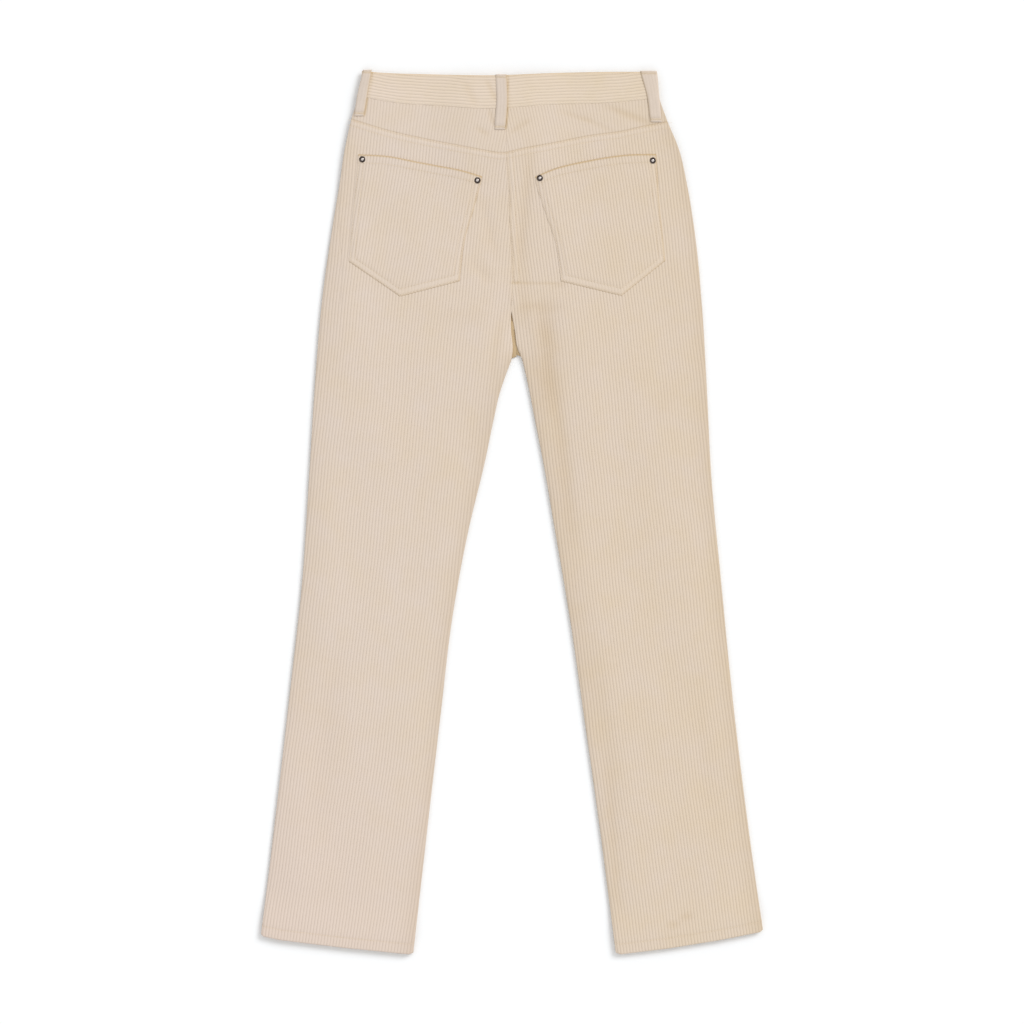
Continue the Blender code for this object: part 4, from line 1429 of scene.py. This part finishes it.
def pocket(side):
    low, high, mouth, point = (table[side] for table in (pocket_low, pocket_high, pocket_mouth, pocket_point))

    def from_point(x, y):
        return (y - point(x)) * POCKET_SLANT

    def from_edge(x, y):
        return np.minimum(np.minimum(x - low(y), high(y) - x), from_point(x, y))

    def edge_rows(x, y):
        return sum(stitched_in(from_edge(x, y) - inset) for inset in POCKET_ROWS)

    def hem_row(x, y):
        return stitched_in(mouth(x) - y - HEM_ROW_AT)

    def rows_of_stitches(x, y):
        return np.minimum(edge_rows(x, y) + hem_row(x, y), 1)

    def lies_on(x, y):
        return lies_at(x, y, side) + WALE_HEIGHT * CRUSHED + POCKET_LAID

    def outer(x, y):
        inside = np.maximum(from_edge(x, y), 0)
        hemmed = FELL_RISE * (1 - ease(mouth(x) - y, POCKET_HEM - 1, POCKET_HEM + 1))
        wall = mix(POCKET_RIM, POCKET_WALL, crown(inside, POCKET_SWELL))
        turned_up = POCKET_RIDGE * np.exp(-(((from_point(x, y) - RIDGE_AT) / RIDGE_HALF) ** 2))
        edges = nose(inside, *POCKET_EDGE_ROUND) + nose(mouth(x) - y, *MOUTH_ROUND)
        return lies_on(x, y) + wall + turned_up + hemmed + edges - DENT * rows_of_stitches(x, y)

    # Warm edges, partly the turned edges' own yellow and partly painted shade, a painted shadow at the mouth,
    # and the rows' thread colour.
    def sewn(x, y):
        turned_edge = tint(high(y) - x, *SIDE_TINT) + tint(y - point(x), *POINT_TINT)
        # A painted shadow line along the mouth's top edge.
        mouth_shadow = np.exp(-(((mouth(x) - y) / MOUTH_SHADOW_HALF) ** 4))
        return turned_edge + mouth_shadow + POCKET_ROW_TINT * edge_rows(x, y) + FINE_ROW_TINT * hem_row(x, y)

    def turned_under(x, y):
        """1 where the allowance lies double along the bottom, so that the pile there is pressed smooth."""
        edge = from_point(x, y)
        return ease(edge, *SMOOTHED_FROM) * (1 - ease(edge, POCKET_ROWS[1] - 2, POCKET_ROWS[1]))

    def pile(x, y):
        inside = plain_sides(np.maximum(from_edge(x, y), 0), mouth(x) - y)
        return inside * (1 - THINNED * rows_of_stitches(x, y)) * (1 - SMOOTHED * turned_under(x, y))

    return Piece(
        low=low,
        high=high,
        start=point,
        end=mouth,
        rows=rows_of(POCKET_LENGTH, POCKET_ROW, POCKET_FOOT_ROWS, POCKET_TOP_ROWS),
        grain=lambda y: grain[side](POCKET_MIDDLE) + (y - POCKET_MIDDLE) * POCKET_LEAN[side],
        outer=outer,
        lining=lies_on,
        pile=pile,
        sewn=sewn,
        handled=lambda x, y: -LIT * turned_under(x, y),
    )


pockets = {side: pocket(side) for side in SIDES}
for side in pockets:
    rests_on = ["back_panel_" + side]
    sewn_piece("patch_pocket_" + side, pockets[side], leg_cloth, "pocket_" + side, POCKET_CUT)

# ---- Rivets -------------------------------------------------------------------------------
# Small blackened copper rivets hold the corners of the pocket mouths, each a ring around a
# raised centre that is worn bright, pressed down into the pile.

RIVETS = (
    Stud("left_outer", -175.0, 412.4),
    Stud("left_inner", -40.5, 387.8),
    Stud("right_inner", 32.6, 390.5),
    Stud("right_outer", 164.6, 411.0),
)
RIVET_PROFILE = (
    Turn(0.0, 1.1, 1.0),
    Turn(0.9, 1.06, 1.0),
    Turn(1.4, 0.92, 0.9),
    Turn(1.65, 0.7, 0.1),
    Turn(1.85, 0.45, 0.0),
    Turn(2.2, 0.4, 0.0),
    Turn(2.7, 0.62, 0.03),
    Turn(3.1, 0.7, 0.06),
    Turn(3.5, 0.52, 0.0),
    Turn(3.75, 0.15, 0.0),
    Turn(3.6, -0.5, 0.0),
    Turn(0.0, -0.5, 0.0),
)
RIVET_SUNK = 0.4
for stud in RIVETS:
    side = "left" if stud.x < 0 else "right"
    height = float(pockets[side].outer(np.array([stud.x]), np.array([stud.y]))[0]) + WALE_HEIGHT - RIVET_SUNK
    turned("pocket_rivet_" + stud.name, RIVET_PROFILE, stud.x, stud.y, height, True, "rivet_" + stud.name)

# ---- Back belt loops ----------------------------------------------------------------------
# Three folded strips of the cloth over the back waistband, sewn down at the top edge and below
# the band seam.

CLIMB_FROM, CLIMB_TO = 9, 1  # how far below the band seam a strip starts and ends to climb


def under_loop(x, y):
    """What a back loop lies on: the waistband, and the yoke below its seam."""
    on_band = BAND_RISE * ease(y, band_seam(x) - CLIMB_FROM, band_seam(x) - CLIMB_TO)
    return band_at(x, y) - BAND_RISE + on_band + WALE_HEIGHT * CRUSHED


back_loops = {loop.name: belt_loop(loop, under_loop, faces_up=True) for loop in BACK_LOOPS}
for loop in BACK_LOOPS:
    name, node = "loop_" + loop.name, "belt_loop_" + loop.name
    sewn_piece(name, back_loops[loop.name], loop_cloth, node, loop_cut(loop))

# ---- Topstitching -------------------------------------------------------------------------
# Cream polyester thread: lockstitches of three millimetres along seams, pockets, band and
# hems, and dense bartacks at the ends of each belt loop.

STITCH = 2.7
STITCH_PITCH = 3.1
THREAD = 0.24
THREAD_OVER = 0.2  # above the ground of the pile it sinks into
TACK_OVER = 0.12
LOOSENESS = 0.9, 1.08
TACK = 2.6
TACK_PITCH = 0.55
TACK_MARGIN = 0.9


def stitches_tree(name, axis):
    """Lays a stitch at even steps on each path, its length along the given axis of the path."""
    values = {"Pitch": "Float", "Length": "Float", "Radius": "Float", "Seed": "Int", "Thread": "Material"}
    nodes, geometry, pitch, length, radius, seed, thread = fresh_tree(name, values)
    path = nodes.add("GeometryNodeMeshToCurve", {}, {"Mesh": geometry})
    even = nodes.add("GeometryNodeResampleCurve", {"mode": "LENGTH"}, {"Curve": path, "Length": pitch})
    tangent = nodes.add("GeometryNodeInputTangent")
    turn = nodes.add("FunctionNodeAlignRotationToVector", {"axis": axis}, {"Vector": tangent})
    grain_of_rice = nodes.add("GeometryNodeMeshUVSphere", {}, {"Segments": 6, "Rings": 5, "Radius": 1.0})
    size = nodes.add("ShaderNodeCombineXYZ", {}, {0: length * 0.5, 1: radius, 2: radius})
    between = {2: LOOSENESS[0], 3: LOOSENESS[1], "Seed": seed}
    loose = nodes.add("FunctionNodeRandomValue", {"data_type": "FLOAT"}, between, output=1)
    scale = nodes.add("ShaderNodeVectorMath", {"operation": "SCALE"}, {0: size, "Scale": loose})
    laid = {"Points": even, "Instance": grain_of_rice, "Rotation": turn, "Scale": scale}
    strewn = nodes.add("GeometryNodeInstanceOnPoints", {}, laid)
    real = nodes.add("GeometryNodeRealizeInstances", {}, {"Geometry": strewn})
    smooth = nodes.add("GeometryNodeSetShadeSmooth", {}, {"Geometry": real})
    done = nodes.add("GeometryNodeSetMaterial", {}, {"Geometry": smooth, "Material": thread})
    return finished_tree(nodes, done)


def sewing_thread():
    """Twisted thread, a little darker and glossier than the pile."""
    material, nodes, link = fresh_material("sewing_thread", {"Roughness": 0.6})
    place = nodes.add("ShaderNodeTexCoord", output="Object")
    pale, dark = linear(232, 216, 196), linear(219, 201, 174)
    link(nodes.blend(nodes.noise(place, scale=120.0), pale, dark), "Base Color")
    twist = nodes.add("ShaderNodeTexWave", {"wave_type": "BANDS"}, {"Vector": place, "Scale": 1200.0})
    bump = nodes.add("ShaderNodeBump", {}, {"Strength": 0.4, "Distance": 0.0001, "Height": twist})
    link(bump, "Normal")
    return material


thread = sewing_thread()
running = stitches_tree("running_stitches", "X")
tacking = stitches_tree("bartacks", "Y")


def path_on(piece, x, y, over=THREAD_OVER):
    """A row of stitches drawn over a piece, at the height of its pressed pile."""
    x, y = np.broadcast_arrays(np.asarray(x, float), np.asarray(y, float))
    sign = 1 if piece.faces_up else -1
    return np.column_stack([x, y, piece.outer(x, y) + sign * over])


def sewn_rows(name, tree, paths, pitch, length, seed):
    """One object for a group of stitched rows, each a path of points."""
    verts = np.concatenate(paths) * MM
    edges, first = [], 0
    for path in paths:
        edges += [(first + i, first + i + 1) for i in range(len(path) - 1)]
        first += len(path)
    mesh = bpy.data.meshes.new(name)
    mesh.from_pydata(verts.tolist(), edges, [])
    obj = placed(name, mesh)
    sizes = {"Pitch": pitch * MM, "Length": length * MM, "Radius": THREAD * MM}
    grown(obj, tree, {**sizes, "Seed": seed, "Thread": thread})
    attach(obj, "root")


def row_across(piece, ends, line, shift, short=3):
    """A row beside a line from edge to edge, a little short of both."""
    x = np.arange(min(ends) + short, max(ends) - short, 1.0)
    return path_on(piece, x, line(x) + shift)


# How far up each row meets the edges of its piece.
YOKE_MEETS = 440.0, 430.0
HEM_MEETS = -498.0, -510.0
MOUTH_MEETS = 400.0
BAND_SEAM_MEETS, BAND_TOP_MEETS, FRONT_BAND_MEETS = 480.0, 512.0, 495.0
SEAT_ROWS_FROM = FELL_END - 20
FROM_MOUTH, FROM_CORNER = 3, 2

leg_rows = []
for side in back:
    ends = outseam[side](YOKE_MEETS[0]), inner_edge[side](YOKE_MEETS[1])
    for inset in FELL_ROWS:
        leg_rows.append(row_across(back[side], ends, yoke_seam, -SEAM / 2 - inset, short=2))
    ends = outseam[side](HEM_MEETS[0]), inner_edge[side](HEM_MEETS[1])
    leg_rows.append(row_across(back[side], ends, hem[side], HEM_DEPTH))
for inset in FELL_ROWS:
    y = np.arange(SEAT_ROWS_FROM, yoke_seam(0.0) - 1, 1.0)
    leg_rows.append(path_on(back["right"], inner_edge["right"](y) + inset, y))
for side in front:
    ends = outseam[side](HEM_MEETS[0]), front_edge(side, HEM_MEETS[1])
    leg_rows.append(row_across(front[side], ends, hem[side], HEM_DEPTH))
for inset in FLY_ROWS:
    y = np.arange(FLY_BOTTOM - inset, band_seam(0.0) - 1, 1.0)
    leg_rows.append(path_on(front["left"], fly_row(y, inset), y))
sewn_rows("leg_stitches", running, leg_rows, STITCH_PITCH, STITCH, seed=3)

pocket_rows = []
for side in pockets:
    piece, mouth, point = pockets[side], pocket_mouth[side], pocket_point[side]
    for inset in POCKET_ROWS:
        left, _, right = POCKET_POINT[side]
        y_left = np.arange(POCKET_MOUTH[side][0].y - FROM_MOUTH, left.y + inset, -1.0)
        y_right = np.arange(right.y + inset, POCKET_MOUTH[side][-1].y - FROM_MOUTH, 1.0)
        across = np.arange(left.x + inset + FROM_CORNER, right.x - inset - FROM_CORNER, 1.0)
        pocket_rows.append(path_on(piece, pocket_low[side](y_left) + inset, y_left))
        pocket_rows.append(path_on(piece, across, point(across) + inset / POCKET_SLANT))
        pocket_rows.append(path_on(piece, pocket_high[side](y_right) - inset, y_right))
    ends = pocket_low[side](MOUTH_MEETS), pocket_high[side](MOUTH_MEETS)
    pocket_rows.append(row_across(piece, ends, mouth, -HEM_ROW_AT, short=6))
sewn_rows("pocket_stitches", running, pocket_rows, STITCH_PITCH, STITCH, seed=5)

band_rows = []
BAND_ROWS = ((band_seam, EDGE_ROW, BAND_SEAM_MEETS), (band_top, -EDGE_ROW, BAND_TOP_MEETS))
for line, shift, meets in BAND_ROWS:
    ends = outseam["left"](meets), outseam["right"](meets)
    band_rows.append(row_across(back_waist, ends, line, shift, short=4))
for side, strip in front_waist.items():
    ends = outseam[side](FRONT_BAND_MEETS), front_edge(side, FRONT_BAND_MEETS)
    for line, shift, _ in BAND_ROWS:
        band_rows.append(row_across(strip, ends, line, shift))
sewn_rows("band_stitches", running, band_rows, STITCH_PITCH, STITCH, seed=7)

tacks = []
for loop in BACK_LOOPS + FRONT_LOOPS:
    strip = {**back_loops, **front_loops}[loop.name]
    for y in (loop.foot_y + TACK_IN, loop.top_y - TOP_TACK_IN):
        half = float(loop_half(loop, y)) - TACK_MARGIN
        middle = float(loop_middle(loop)(y))
        x = np.arange(middle - half, middle + half, 0.5)
        tacks.append(path_on(strip, x, y, TACK_OVER))
sewn_rows("loop_bartacks", tacking, tacks, TACK_PITCH, TACK, seed=11)

# ---- Stage --------------------------------------------------------------------------------
# A plain white table, a large soft light from the upper right and a bright surround, with the
# camera straight above.

TABLE_SIZE, TABLE_TOP = 8, -0.0002
bpy.ops.mesh.primitive_plane_add(size=TABLE_SIZE, location=(0, 0, TABLE_TOP))
floor = bpy.context.object
floor.name = "floor"
PAPER_LOOKS = {"Base Color": (0.93, 0.94, 0.95, 1), "Roughness": 0.9}
floor.data.materials.append(fresh_material("white_table", PAPER_LOOKS)[0])

SURROUND = {"Color": (1.0, 1.0, 1.0, 1), "Strength": 0.80}
world = bpy.data.worlds.new("bright_surround")
world.use_nodes = True
for key, value in SURROUND.items():
    world.node_tree.nodes["Background"].inputs[key].default_value = value
bpy.context.scene.world = world

LAMP_ENERGY, LAMP_SPREAD = 1.6, 0.5
LAMP_TURNED = (0, 0.96, 0.72)
light = bpy.data.lights.new("softbox", "SUN")
light.energy = LAMP_ENERGY
light.angle = LAMP_SPREAD
placed("softbox", light).rotation_euler = LAMP_TURNED

LENS = 200.0
SENSOR = 36.0
VIEW_WIDTH = 1.198
VIEW_FROM = 0.004  # the height at which the view is that wide
camera = bpy.data.cameras.new("camera")
camera.lens = LENS
camera.sensor_width = SENSOR
eye = placed("camera", camera)
eye.location = (0, 0, VIEW_WIDTH * LENS / SENSOR + VIEW_FROM)
bpy.context.scene.camera = eye
bpy.context.scene.view_settings.view_transform = "Standard"
